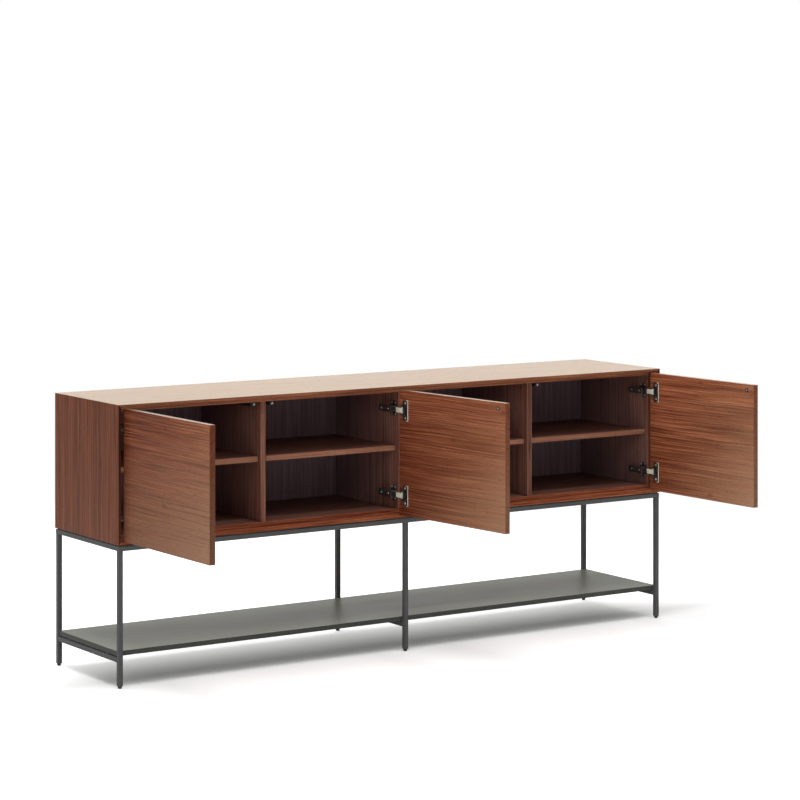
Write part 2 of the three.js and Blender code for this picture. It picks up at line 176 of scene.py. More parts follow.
def together(shells: Iterable[Shell]) -> Shell:
    """Put several placed surfaces into one.

    Args:
        shells: The surfaces.

    Returns:
        One surface that holds them all.
    """
    points: list[Array] = []
    faces: list[list[int]] = []
    start = 0
    for shell in shells:
        points.append(shell.points)
        faces.extend([index + start for index in face] for face in shell.faces)
        start += len(shell.points)
    return Shell(np.concatenate(points), faces)


def rectangle(u0: float, u1: float, v0: float, v1: float) -> Array:
    """The corners of an upright rectangle, anticlockwise from its lowest u and v."""
    return np.array(((u0, v0), (u1, v0), (u1, v1), (u0, v1)))


def softened(corners: Array, radius: float, steps: int = ARC_STEPS) -> Array:
    """Round each corner of an outline.

    A corner C becomes the curve (1-s)^2 A + 2 s (1-s) C + s^2 B for s from 0 to 1, where A and B lie on the
    corner's two sides, one radius away from it.

    Args:
        corners: The outline's corners as rows of u and v.
        radius: How far from the corner the rounding starts.
        steps: How many straight pieces each corner is made of.

    Returns:
        The rounded outline's points.
    """
    before = np.roll(corners, 1, axis=0) - corners
    after = np.roll(corners, -1, axis=0) - corners
    near = (corners + radius * before / np.linalg.norm(before, axis=1, keepdims=True))[:, None]
    far = (corners + radius * after / np.linalg.norm(after, axis=1, keepdims=True))[:, None]
    s = np.linspace(0.0, 1.0, steps + 1)[None, :, None]
    curve = (1 - s) ** 2 * near + 2 * s * (1 - s) * corners[:, None] + s**2 * far
    return curve.reshape(-1, 2)


def sweep_points(outline: Array, rows: Array, insets: Array) -> Array:
    """The grid of an outline carried along w.

    Point (k, i) is the outline's point i, drawn in by inset k, at height (k, i). Inwards of an anticlockwise
    outline is the chord across each point, turned a quarter to the left.

    Args:
        outline: The outline's points as rows of u and v, anticlockwise.
        rows: The heights, one row for each station and one column for each point or one for all.
        insets: How far the outline is drawn in at each station.

    Returns:
        An array of stations by points by three.
    """
    chord = np.roll(outline, -1, axis=0) - np.roll(outline, 1, axis=0)
    chord = chord / np.linalg.norm(chord, axis=1, keepdims=True)
    inward = np.stack((-chord[:, 1], chord[:, 0]), axis=1)
    drawn = outline[None] + insets[:, None, None] * inward[None]
    heights = np.broadcast_to(rows, drawn.shape[:2])
    return np.concatenate((drawn, heights[..., None]), axis=2)


def numbered(grid: Array) -> Array:
    """The number of each point of a grid."""
    return np.arange(grid.shape[0] * grid.shape[1]).reshape(grid.shape[:2])


def grid_quads(index: Array) -> Array:
    """The four corners of each cell of a grid whose columns close on themselves."""
    beside = np.roll(index, -1, axis=1)
    return np.stack((index[:-1], beside[:-1], beside[1:], index[1:]), axis=-1)


def sweep(outline: Array, rows: Array, insets: Array, axes: Axes) -> Shell:
    """A solid bar: an outline carried along w and closed at both ends.

    Args:
        outline: The outline's points as rows of u and v, anticlockwise.
        rows: The heights of the stations, as sweep_points takes them.
        insets: How far the outline is drawn in at each station.
        axes: The bar's own frame.

    Returns:
        The placed surface.
    """
    grid = sweep_points(outline, rows, insets)
    index = numbered(grid)
    faces = grid_quads(index).reshape(-1, 4).tolist()
    faces += [index[0, ::-1].tolist(), index[-1].tolist()]
    return Shell(grid.reshape(-1, 3), faces).placed(axes)


def eased_ends(low: float, high: float, arris: float, between: Sequence[float] = ()) -> tuple[Array, Array]:
    """Stations of a bar whose end edges are eased by a quarter circle.

    Along the quarter circle at angle a, the height is arris (1 - cos a) and the inset is nine tenths of
    arris (1 - sin a).

    Args:
        low: Height of the lower end.
        high: Height of the upper end.
        arris: Radius of the eased edge.
        between: Further heights between the two ends.

    Returns:
        The heights as a column, and the insets.
    """
    angle = np.linspace(0.0, math.pi / 2, ARC_STEPS + 1)
    rise = arris * (1 - np.cos(angle))
    inset = EASE_SHARE * arris * (1 - np.sin(angle))
    rows = np.concatenate((low + rise, np.asarray(between, float), (high - rise)[::-1]))
    return rows[:, None], np.concatenate((inset, np.zeros(len(between)), inset[::-1]))


def eased_block(low: Sequence[float], high: Sequence[float], arris: float, axes: Axes = ROW_FRAME) -> Shell:
    """A board between its lowest and highest corners, in its own frame, with every edge eased."""
    outline = softened(rectangle(low[0], high[0], low[1], high[1]), arris)
    return sweep(outline, *eased_ends(low[2], high[2], arris), axes)


def hollow_bar(outer: Array, inner: Array, length: float, arris: float, axes: Axes) -> Shell:
    """A tube open at both ends: the outer outline goes up, crosses to the inner one and comes down again.

    Args:
        outer: Outline of the outside, anticlockwise.
        inner: Outline of the bore, with as many points.
        length: How long the tube is.
        arris: Radius of the eased outer end edges.
        axes: The tube's own frame.

    Returns:
        The placed surface.
    """
    outside = sweep_points(outer, *eased_ends(0.0, length, arris))
    inside = sweep_points(inner, np.array(((length,), (0.0,))), np.zeros(2))
    grid = np.concatenate((outside, inside))
    index = numbered(grid)
    quads = grid_quads(np.concatenate((index, index[:1])))
    return Shell(grid.reshape(-1, 3), quads.reshape(-1, 4).tolist()).placed(axes)


def turn_angles(steps: int = ROUND_STEPS) -> Array:
    """The angles at which a turned piece has its points."""
    return np.linspace(0.0, 2 * math.pi, steps, endpoint=False)


def turned(rings: Rings, axes: Axes, steps: int = ROUND_STEPS) -> Shell:
    """A turned piece: each ring is a radius, which may vary round the turn, at a height along w.

    Point (k, j) is (R_k(a) cos a, R_k(a) sin a, h_k) at the angle a = 2 pi j / steps. The first and last
    rings close on a point at their middle.

    Args:
        rings: Radius and height of each ring, from one end of the surface to the other.
        axes: The piece's own frame.
        steps: How many points go round.

    Returns:
        The placed surface.
    """
    angle = turn_angles(steps)
    radii = np.stack([np.broadcast_to(np.asarray(radius, float), angle.shape) for radius, _ in rings])
    heights = np.array([height for _, height in rings])[:, None] + np.zeros_like(radii)
    grid = np.stack((radii * np.cos(angle), radii * np.sin(angle), heights), axis=-1)
    poles = np.array(((0.0, 0.0, rings[0][1]), (0.0, 0.0, rings[-1][1])))
    index = numbered(grid)
    beside = np.roll(index, -1, axis=1)
    first = np.stack((np.full(steps, index.size), beside[0], index[0]), axis=1)
    last = np.stack((np.full(steps, index.size + 1), index[-1], beside[-1]), axis=1)
    faces = grid_quads(index).reshape(-1, 4).tolist() + first.tolist() + last.tolist()
    return Shell(np.concatenate((grid.reshape(-1, 3), poles)), faces).placed(axes)


def ray_to_rectangle(half_u: float, half_v: float, angle: Array, shift: float = 0.0) -> Array:
    """Distance from a point to the edge of the rectangle round it.

    It is the lesser of the distance to the side in u, over |cos a|, and that to the side in v, over |sin a|.

    Args:
        half_u: Half the rectangle's size in u.
        half_v: Half its size in v.
        angle: Directions of the rays.
        shift: How far the rectangle's middle lies from the point, in u.

    Returns:
        One distance for each angle.
    """
    cosine, sine = np.cos(angle), np.sin(angle)
    side = half_u + shift * np.sign(cosine)
    return np.minimum(side / np.maximum(np.abs(cosine), 1e-9), half_v / np.maximum(np.abs(sine), 1e-9))


def peg(radius: float, low: float, high: float, ease: float) -> Rings:
    """The rings of a round peg whose upper edge is eased."""
    side = ((0.5 * radius, low), (radius, low), (radius, high - ease), (radius - ease, high))
    return (*side, (0.5 * radius, high))


def screw_head(radius: float, height: float, axes: Axes) -> Shell:
    """A domed screw head with a cross recess, standing on w = 0.

    The recess's edge is, at each angle, the farther of two crossed slots.

    Args:
        radius: Radius of the head.
        height: Height of its dome.
        axes: The head's own frame.

    Returns:
        The placed surface.
    """
    angle = turn_angles()
    arm, half = 0.55 * radius, 0.15 * radius
    cross = np.maximum(ray_to_rectangle(arm, half, angle), ray_to_rectangle(half, arm, angle))
    dome = ((radius, 0.3 * height), (0.9 * radius, 0.75 * height), (0.7 * radius, height))
    recess = ((cross, height), (0.8 * cross, 0.25 * height))
    return turned(((0.5 * radius, 0.0), (radius, 0.0), *dome, *recess), axes)


class Graph:
    """The node tree of a material or of the world, with short ways to add and join its nodes."""

    def __init__(self, owner: Any, output: str = "ShaderNodeOutputMaterial") -> None:
        """Start an empty tree with an output.

        Args:
            owner: The material or the world.
            output: Blender's name of the output node's type.
        """
        owner.use_nodes = True
        self.owner = owner
        self.tree = owner.node_tree
        self.tree.nodes.clear()
        self.output = self.tree.nodes.new(output)

    @classmethod
    def material(cls, name: str) -> Graph:
        """The empty tree of a new material."""
        return cls(bpy.data.materials.new(name))

    def feed(self, socket: Any, value: Any) -> None:
        """Join a socket to another, or set its own value.

        Args:
            socket: The input to fill.
            value: An output socket, a number, a colour or a vector.
        """
        if isinstance(value, bpy.types.NodeSocket):
            self.tree.links.new(value, socket)
        elif isinstance(value, tuple) and len(socket.default_value) == 4:
            socket.default_value = (*value, 1.0)
        else:
            socket.default_value = value

    def node(self, kind: str, inputs: dict[str | int, Any] | None = None, **settings: Any) -> Any:
        """Add a node.

        Args:
            kind: Blender's name of the node's type, after its common first part.
            inputs: Values or sockets for its inputs.
            **settings: The node's own settings.

        Returns:
            The new node's outputs.
        """
        added = self.tree.nodes.new(f"ShaderNode{kind}")
        for key, value in settings.items():
            setattr(added, key, value)
        for key, value in (inputs or {}).items():
            self.feed(added.inputs[key], value)
        return added.outputs

    def math(self, operation: str, first: Any, second: Any) -> Any:
        """The result of a sum on two numbers."""
        return self.node("Math", {0: first, 1: second}, operation=operation)[0]

    def scaled(self, vector: Any, factors: Colour) -> Any:
        """A vector with each of its parts multiplied."""
        return self.node("VectorMath", {0: vector, 1: factors}, operation="MULTIPLY")[0]

    def spread(self, value: Any, low: float, high: float, to_low: float = 0.0, to_high: float = 1.0) -> Any:
        """A number carried from one range to another, and kept inside it."""
        inputs = {"Value": value, "From Min": low, "From Max": high, "To Min": to_low, "To Max": to_high}
        return self.node("MapRange", inputs, clamp=True)["Result"]

    def mixed(self, factor: Any, first: Any, second: Any, blend: str = "MIX") -> Any:
        """Two colours mixed by a number."""
        return self.node("Mix", {0: factor, 6: first, 7: second}, data_type="RGBA", blend_type=blend)[2]

    def attribute(self, name: str) -> Any:
        """A vector of the piece's own."""
        return self.node("Attribute", attribute_name=name)["Vector"]

    def object_place(self) -> Any:
        """The place on the piece, in its own coordinates."""
        return self.node("TexCoord")["Object"]

    def bump(self, height: Any, distance: float, strength: float = 0.5) -> Any:
        """Normals tilted by a height."""
        return self.node("Bump", {"Height": height, "Distance": distance, "Strength": strength})["Normal"]

    def seen_directly(self) -> Any:
        """One for rays from the camera, a reflection or glass, and nothing for light on the object.

        Returns:
            The socket that carries the result.
        """
        path = self.node("LightPath")
        plain = self.math("MAXIMUM", path["Is Camera Ray"], path["Is Glossy Ray"])
        return self.math("MAXIMUM", plain, path["Is Transmission Ray"])

    def finish(self, shader: Any) -> Any:
        """Join the last shader to the output, and give the tree's owner."""
        self.feed(self.output.inputs["Surface"], shader)
        return self.owner

    def surface(self, **inputs: Any) -> Material:
        """Finish the tree with a Principled surface, whose inputs have underscores for spaces."""
        named = {key.replace("_", " "): value for key, value in inputs.items()}
        return self.finish(self.node("BsdfPrincipled", named)["BSDF"])


@dataclass(frozen=True)
class Noise:
    """Noise over a piece: how often it repeats in each direction, and how rough it is."""

    often: Colour
    detail: float = 2.0
    roughness: float = 0.5

    def drawn(self, graph: Graph, place: Any) -> Any:
        """The noise at a place, as a number from 0 to 1."""
        inputs = {"Scale": 1.0, "Detail": self.detail, "Roughness": self.roughness}
        return graph.node("TexNoise", {"Vector": graph.scaled(place, self.often), **inputs})["Fac"]


def along_grain(along: float, across: float, detail: float = 2.0, roughness: float = 0.5) -> Noise:
    """Noise drawn out along the grain."""
    return Noise((along, across, across), detail, roughness)


@dataclass(frozen=True)
class WalnutVeneer:
    """Satin walnut veneer whose figure runs along the first part of the piece's grain attribute, with light
    and shade painted on by its lean attribute.

    Each change carries a layer's noise, from one range, to how much of the layer there is.
    """

    name: str
    deep: Display
    body: Display
    light: Display
    # Painted light: the greyer brown that the pale lean mixes in.
    painted_light_colour: Display
    # Painted shade: what the deep lean multiplies the wood by.
    painted_shade_factor: Colour = (0.38, 0.3, 0.3)
    index: float = 1.1
    roughness: float = 0.3
    waviness: float = 0.015
    pore_depth: float = 0.12 * MM
    sway: Noise = along_grain(2.6, 4.5, 1.5)
    bands: Noise = along_grain(0.8, 26.0, 3.0, 0.6)
    threads: Noise = along_grain(2.6, 220.0, 2.0, 0.6)
    fibres: Noise = along_grain(8.0, 480.0, 2.0, 0.6)
    pores: Noise = along_grain(55.0, 950.0, 1.0)
    veins: Noise = along_grain(1.8, 140.0)
    streaks: Noise = along_grain(1.6, 170.0, 1.5)
    knots_often: Colour = (3.1, 5.6, 1.0)
    band_change: Change = (0.3, 0.7, 0.0, 0.14)
    thread_change: Change = (0.36, 0.64, 0.0, 0.54)
    fibre_change: Change = (0.34, 0.66, 0.0, 0.32)
    pore_change: Change = (0.6, 0.72, 0.0, 1.0)
    vein_change: Change = (0.55, 0.68, 0.0, 0.32)
    streak_change: Change = (0.56, 0.7, 0.0, 0.32)
    knot_change: Change = (0.01, 0.05, 0.35, 0.0)
    pore_mix: float = 0.45
    pore_shade: float = 0.35
    fibre_relief: float = 0.35
    relief_strength: float = 0.6

    def swayed(self, graph: Graph) -> Any:
        """The grain's coordinates with slow noise added across them, so that the figure sways.

        Args:
            graph: The tree to add to.

        Returns:
            The socket that carries them.
        """
        straight = graph.attribute(GRAIN)
        slow = graph.math("SUBTRACT", self.sway.drawn(graph, straight), 0.5)
        aside = graph.node("CombineXYZ", {"Y": graph.math("MULTIPLY", slow, self.waviness)})["Vector"]
        return graph.node("VectorMath", {0: straight, 1: aside}, operation="ADD")["Vector"]

    def figured(self, graph: Graph, figure: Any) -> Any:
        """The plain wood's colour.

        Args:
            graph: The tree to add to.
            figure: How light the figure is, from 0 to 1.

        Returns:
            The socket that carries the colour.
        """
        ramp = graph.tree.nodes.new("ShaderNodeValToRGB")
        graph.feed(ramp.inputs["Fac"], figure)
        elements = ramp.color_ramp.elements
        elements.new(0.5)
        for element, position, shade in zip(elements, (0.1, 0.5, 0.9), (self.deep, self.body, self.light)):
            element.position = position
            element.color = (*linear(shade), 1.0)
        return ramp.outputs["Color"]

    def build(self) -> Material:
        """Make the material.

        Bands, threads, fibres and pores are noise drawn out along the grain, each finer than the last. Dark
        veins and pale streaks are the crests of such noise, and knots lie near a scattered lattice's points.

        Returns:
            The finished material.
        """
        graph = Graph.material(self.name)
        grain = self.swayed(graph)
        threads = self.threads.drawn(graph, grain)
        fibres = self.fibres.drawn(graph, grain)
        pores = graph.spread(self.pores.drawn(graph, grain), *self.pore_change)
        veins = graph.spread(self.veins.drawn(graph, grain), *self.vein_change)
        streaks = graph.spread(self.streaks.drawn(graph, grain), *self.streak_change)
        scattered = graph.scaled(grain, self.knots_often)
        lattice = graph.node("TexVoronoi", {"Vector": scattered, "Scale": 1.0}, voronoi_dimensions="2D")
        knots = graph.spread(lattice["Distance"], *self.knot_change)
        figure = graph.spread(self.bands.drawn(graph, grain), *self.band_change)
        figure = graph.math("ADD", figure, graph.spread(threads, *self.thread_change))
        figure = graph.math("ADD", figure, graph.spread(fibres, *self.fibre_change))
        tone = graph.node("SeparateXYZ", {0: graph.attribute(LIGHT_LEAN)})
        deep = linear(self.deep)
        # The first layer is painted light: the pale lean mixes in the greyer brown.
        layers = (
            (graph.spread(tone["X"], 0.0, 1.0), linear(self.painted_light_colour)),
            (streaks, linear(self.light)),
            (veins, deep),
            (knots, deep),
            (graph.math("MULTIPLY", pores, self.pore_mix), tuple(self.pore_shade * part for part in deep)),
        )
        wood = self.figured(graph, figure)
        for amount, colour in layers:
            wood = graph.mixed(amount, wood, colour)
        # Painted shade: the deep lean multiplies the colour down.
        wood = graph.mixed(graph.spread(tone["Y"], 0.0, 1.0), wood, self.painted_shade_factor, "MULTIPLY")
        height = graph.math("SUBTRACT", graph.math("MULTIPLY", fibres, self.fibre_relief), pores)
        sheen = graph.spread(threads, 0.2, 0.8, self.roughness - 0.05, self.roughness + 0.07)
        relief = graph.bump(height, self.pore_depth, self.relief_strength)
        return graph.surface(Base_Color=wood, Roughness=sheen, IOR=self.index, Normal=relief)


@dataclass(frozen=True)
class Coat:
    """A coat's texture: fine noise tilts it, and slow noise mixes its two colours and changes its gloss.

    tint and gloss give the slow noise's range, then the range of the mix or the added roughness it becomes.
    """

    fine: Noise
    depth: float
    slow: Noise
    tint: Change
    gloss: Change
    index: float = 1.12
    streaks: Noise | None = None
    streak_share: float = 0.45
    specks: Noise | None = None
    speck_change: Change = (0.55, 0.8, 0.0, 0.25)


POWDER = Coat(
    Noise((1400.0, 1400.0, 1400.0)),
    0.05 * MM,
    Noise((7.0, 7.0, 11.0), 4.0, 0.6),
    tint=(0.3, 0.75, 0.0, 0.7),
    gloss=(0.25, 0.75, -0.05, 0.08),
    specks=Noise((520.0, 520.0, 520.0), 1.0),
)
LACQUER = Coat(
    Noise((900.0, 900.0, 900.0)),
    0.04 * MM,
    Noise((3.0, 5.0, 5.0), 3.0),
    tint=(0.3, 0.7, 0.0, 1.0),
    gloss=(0.3, 0.7, -0.04, 0.06),
    streaks=Noise((2.0, 45.0, 45.0), 3.0),
)
PLATE = Coat(
    Noise((900.0, 60.0, 900.0)),
    0.02 * MM,
    Noise((130.0, 130.0, 130.0), 3.0),
    tint=(0.4, 0.75, 0.0, 1.0),
    gloss=(0.3, 0.75, 0.0, 0.16),
    index=1.5,
)
MOULDED = Coat(
    Noise((2200.0, 2200.0, 2200.0), 1.0),
    0.03 * MM,
    Noise((160.0, 160.0, 160.0), 4.0, 0.7),
    tint=(0.45, 0.8, 0.0, 1.0),
    gloss=(0.3, 0.8, 0.0, 0.15),
    index=1.48,
)


@dataclass(frozen=True)
class CoatedFinish:
    """A coat in its own two colours, the second for its worn, rubbed or dull patches."""

    name: str
    coat: Coat
    colour: Display
    worn: Display
    roughness: float
    metallic: float = 0.0

    def build(self) -> Material:
        """Make the material.

        Returns:
            The finished material.
        """
        graph = Graph.material(self.name)
        place = graph.object_place()
        coat = self.coat
        cloud = coat.slow.drawn(graph, place)
        if coat.streaks:
            streaks = graph.math("MULTIPLY", coat.streaks.drawn(graph, place), coat.streak_share)
            cloud = graph.math("ADD", streaks, graph.math("MULTIPLY", cloud, 1.0 - coat.streak_share))
        colour = graph.mixed(graph.spread(cloud, *coat.tint), linear(self.colour), linear(self.worn))
        if coat.specks:
            speck = graph.spread(coat.specks.drawn(graph, place), *coat.speck_change)
            colour = graph.mixed(speck, colour, linear(self.worn))
        low, high, smooth, rough = coat.gloss
        return graph.surface(
            Base_Color=colour,
            Metallic=self.metallic,
            Roughness=graph.spread(cloud, low, high, self.roughness + smooth, self.roughness + rough),
            IOR=coat.index,
            Normal=graph.bump(coat.fine.drawn(graph, place), coat.depth),
        )


def wood(name: str, *shades: Display, **settings: float) -> Material:
    """Walnut veneer in its deep, body and light shades, and the greyer brown that painted light leans it to.
    """
    return WalnutVeneer(name, *shades, **settings).build()


def coated(name: str, coat: Coat, *looks: Any) -> Material:
    """A coat in its two colours, with its roughness and, on metal, how metallic it is."""
    return CoatedFinish(name, coat, *looks).build()


class Finishes:
    """Every finish of the credenza, made once and shared by its pieces."""

    def __init__(self) -> None:
        """Make all the materials."""
        self.veneer = wood("walnut_veneer_satin", (88, 40, 25), (142, 77, 51), (182, 116, 82), (164, 126, 98))
        # A paler copy of the veneer for the top faces: a painted highlight of the grazing light on them.
        self.highlit_top = wood(
            "walnut_top_satin", (96, 66, 38), (126, 92, 54), (152, 118, 76), (158, 128, 88), index=1.125
        )
        # A darker copy of the veneer for the sides and the back's outer face: painted shade on the sides.
        self.flank = wood("walnut_side_satin", (72, 38, 27), (104, 57, 39), (131, 79, 56), (128, 92, 74))
        # Duller, greyer copies of the veneer for the uprights, inner faces and shelves of the bays: painted
        # shade with a grey haze of light.
        self.wall = wood(
            "walnut_wall_satin", (78, 50, 42), (122, 81, 67), (148, 105, 87), (128, 104, 108), roughness=0.4
        )
        self.inner = wood(
            "walnut_inner_satin", (76, 48, 42), (114, 77, 67), (142, 101, 86), (176, 122, 92), roughness=0.4
        )
        # A dark purplish grey copy of the veneer for the back's inner face: a painted haze of light over deep
        # shade.
        self.hazed_back = wood(
            "smoked_walnut_back", (104, 84, 89), (128, 105, 110), (144, 120, 122), (160, 136, 134),
            roughness=0.45,
        )
        self.steel = coated("dark_powder_coat", POWDER, (78, 79, 79), (91, 92, 91), 0.46)
        self.lacquer = coated("olive_grey_lacquer", LACQUER, (102, 105, 92), (112, 115, 101), 0.4)
        self.edge = coated("dark_lacquer_edge", LACQUER, (64, 65, 62), (74, 75, 71), 0.4)
        self.nickel = coated("bright_nickel_plate", PLATE, (206, 203, 194), (176, 172, 162), 0.2, 1.0)
        # Darkened nickel for the hinge arms, the cups' flanges and the links' rear: painted shade inside the
        # bays.
        self.shade = coated("shaded_nickel_plate", PLATE, (88, 78, 74), (66, 58, 56), 0.3, 0.6)
        # Near-white zinc for the links' fronts and the cups' far edges: painted glint and highlight.
        self.satin = coated("satin_zinc_link", PLATE, (232, 234, 216), (212, 213, 197), 0.5, 0.2)
        self.zinc = coated("zinc_plated_screw", PLATE, (206, 204, 198), (170, 167, 160), 0.3, 1.0)
        self.plastic = coated("black_moulded_plastic", MOULDED, (24, 24, 25), (40, 40, 41), 0.5)
        self.rubber = coated("pale_rubber_tip", MOULDED, (186, 182, 172), (160, 156, 147), 0.65)


@dataclass(frozen=True)
class LightLean:
    """How far painted light or shade leans a piece's colour one way: at its lowest corner, and by how much
    more at its far ends.

    The lean is the corner's, plus along times the share of the way along the grain, plus across times the
    share of the way across it. Where that is below nought there is none.
    """

    corner: float = 0.0
    along: float = 0.0
    across: float = 0.0

    def at(self, share: Array) -> Array:
        """The lean at rows of shares along and across."""
        return np.maximum(self.corner + share @ np.array((self.along, self.across)), 0.0)


@dataclass(frozen=True)
class Grain:
    """How veneer lies on a piece: where its figure is read, along which axes, and the light and shade painted
    on it.

    Pale paints light, a lean to a greyer brown, and deep paints shade, a lean to a darker one. ends paints
    shade on the two faces across the grain's ends, and front paints light on the face at the lowest measure
    across it, or shade where front is below nought.
    """

    axes: Axes
    seed: float
    pale: LightLean = LightLean()
    deep: LightLean = LightLean()
    ends: float = 0.0
    front: float = 0.0

    def coordinates(self, points: Array) -> Array:
        """Along, across and into the veneer at each point, moved to the piece's own part of the log."""
        return self.axes.measure(points) + self.seed * LOG_STEP

    def leanings(self, points: Array) -> Array:
        """How far painted light and shade lean the colour at each point.

        Args:
            points: Rows of x, y and z.

        Returns:
            Rows of the lean to pale, which is painted light, the lean to deep, which is painted shade, and
            nought.
        """
        laid = self.axes.measure(points)[:, :2]
        size = np.ptp(laid, axis=0)
        share = (laid - laid.min(axis=0)) / size
        near = FACE_REACH / size
        at_end = (share[:, 0] < near[0]) | (share[:, 0] > 1 - near[0])
        at_front = share[:, 1] < near[1]
        pale = self.pale.at(share) + max(self.front, 0) * at_front
        deep = self.deep.at(share) + max(-self.front, 0) * at_front + self.ends * at_end
        return np.stack((pale, deep, np.zeros_like(pale)), axis=1)


def grain_along(direction: Array, across: Array, seed: float, **leanings: Any) -> Grain:
    """Veneer square to the row frame: the way it runs, the way across, its part of the log, its leanings."""
    return Grain(Axes(np.zeros(3), direction, across, np.cross(direction, across)), seed, **leanings)


def add_piece(
    name: str,
    shell: Shell,
    material: Material,
    body: str,
    node: str = "",
    grain: Grain | None = None,
    lining: tuple[Material, Sequence[int] | Array] | None = None,
) -> None:
    """Make a piece of the credenza from a placed surface.

    Args:
        name: The piece's name.
        shell: The surface, in the row frame.
        material: Its finish.
        body: The frame's body that it rides on.
        node: The frame's node that it stands for, if any.
        grain: How veneer lies on it, where it is veneered.
        lining: A second finish and the faces that have it.
    """
    mesh = bpy.data.meshes.new(name)
    mesh.from_pydata(shell.points.tolist(), [], shell.faces)
    mesh.polygons.foreach_set("use_smooth", np.ones(len(shell.faces), bool))
    mesh.set_sharp_from_angle(angle=SHARP_ANGLE)
    if grain is not None:
        for label, rows in ((GRAIN, grain.coordinates(shell.points)), (LIGHT_LEAN, grain.leanings(shell.points))):
            attribute = mesh.attributes.new(label, "FLOAT_VECTOR", "POINT")
            attribute.data.foreach_set("vector", rows.astype(np.float32).ravel())
    mesh.materials.append(material)
    if lining is not None:
        mesh.materials.append(lining[0])
        lined = np.isin(np.arange(len(shell.faces)), np.array(lining[1]))
        mesh.polygons.foreach_set("material_index", lined.astype(np.int32))
    mesh.update()
    piece = bpy.data.objects.new(name, mesh)
    bpy.context.scene.collection.objects.link(piece)
    piece.modifiers.new("even_faces", "WEIGHTED_NORMAL").keep_sharp = True
    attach(piece, body)
    if node:
        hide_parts(node)
    LOG.info("%s rides on %s, %d faces", name, body, len(shell.faces))


def add_screws(name: str, body: str, zinc: Material, size: Size, places: Iterable[Axes]) -> None:
    """Make a set of screw heads, all of one radius and height, as one piece."""
    heads = together(screw_head(*size, place) for place in places)
    add_piece(name, heads, zinc, body)


def node_box(node: str) -> tuple[Array, Array]:
    """A frame node's lowest and highest corners."""
    low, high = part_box(node)
    return np.array(low), np.array(high)


@dataclass
class Casing:
    """The walnut box: four mitred panels with a thin front lip, the back, the uprights and the shelves."""

    finishes: Finishes
    arris: float = 0.7 * MM
    lip: float = 8.0 * MM
    mitre_gap: float = 0.15 * MM
    uprights: tuple[str, ...] = ("left_divider", "centre_partition", "right_divider")
    shelves: tuple[str, ...] = ("bay_1_shelf", "bay_2_shelf", "bay_3_shelf", "bay_4_shelf")

    def build(self) -> None:
        """Make every panel of the box."""
        self.mitred_panels()
        self.inner_boards()

    def mitred_panels(self) -> None:
        """Make the top, the bottom and the two sides.

        Each is the section of a board with a rebate behind its front lip, carried along the panel. Its ends
        follow the mitre: the panel is shorter by one depth at each end for each depth into the board.
        """
        left, right = node_box("left_side")[0], node_box("right_side")[1]
        under, top = node_box("top_panel")
        front, back = left[1], right[1]
        rebate = node_box("left_divider")[0][1]
        thick = top[2] - under[2]
        lip = self.lip
        section = ((front, 0.0), (back, 0.0), (back, thick), (rebate, thick), (rebate, lip), (front, lip))
        outline = softened(np.array(section), self.arris)
        depth = outline[:, 1]
        outside, inside = ARC_STEPS, 3 * ARC_STEPS + 2
        across = (left[0] + self.mitre_gap, right[0] - self.mitre_gap)
        upright = (left[2], top[2])
        use = self.finishes
        # Painted light and shade: the top is paler and its lip front darker, the sides are paler at the foot
        # and darker on their lip fronts, and the right side is also paler towards the back.
        grains = (
            grain_along(X_AXIS, Y_AXIS, 2.0, pale=LightLean(0.25), front=-0.3),
            grain_along(X_AXIS, Y_AXIS, 3.0, deep=LightLean(0.0, 0.0, 0.2)),
            grain_along(Z_AXIS, Y_AXIS, 6.0, pale=LightLean(0.2, -0.2), front=-0.9),
            grain_along(Z_AXIS, Y_AXIS, 7.0, pale=LightLean(0.2, -0.2, 0.8), front=-0.9),
        )
        # The top face takes the paler top veneer, a painted highlight, and the inner faces take the bays'
        # duller veneer, painted shade.
        panels = (
            ("top_panel", Z_AXIS * top[2], -Z_AXIS, X_AXIS, across, use.veneer, use.highlit_top, outside),
            ("bottom_panel", Z_AXIS * left[2], Z_AXIS, X_AXIS, across, use.veneer, use.inner, inside),
            ("left_side", X_AXIS * left[0], X_AXIS, Z_AXIS, upright, use.flank, use.wall, inside),
            ("right_side", X_AXIS * right[0], -X_AXIS, Z_AXIS, upright, use.flank, use.wall, inside),
        )
        for grain, (node, origin, into, along, (low, high), finish, lining, face) in zip(grains, panels):
            rows = np.stack((low + depth, high - depth))
            shell = sweep(outline, rows, np.zeros(2), Axes(origin, Y_AXIS, into, along))
            add_piece(f"walnut_{node}", shell, finish, CARCASS, node, grain, (lining, (face,)))

    def inner_boards(self) -> None:
        """Make the back, with a painted haze of light over shade on its inner face, the uprights and the
        shelves as eased boards.
        """
        use = self.finishes
        around = 4 * (ARC_STEPS + 1)
        # Painted haze of light over shade on the back's inner face.
        hazed_back = (use.hazed_back, (ARC_STEPS * around + ARC_STEPS,))
        boards = [("back_panel", use.flank, grain_along(Z_AXIS, X_AXIS, 8.0), hazed_back)]
        # The uprights are painted paler towards the back: a haze of light over their shade.
        for seed, node in enumerate(self.uprights, 10):
            boards.append((node, use.wall, grain_along(Z_AXIS, Y_AXIS, seed, pale=LightLean(0.0, 0.0, 0.9)), None))
        # The shelves get painted shade towards the back and painted light on their front edges.
        for seed, node in enumerate(self.shelves, 13):
            grain = grain_along(X_AXIS, Y_AXIS, seed, deep=LightLean(0.0, 0.0, 0.25), front=0.5)
            boards.append((node, use.inner, grain, None))
        for node, finish, grain, lining in boards:
            shell = eased_block(*node_box(node), self.arris)
            add_piece(f"walnut_{node}", shell, finish, CARCASS, node, grain, lining)


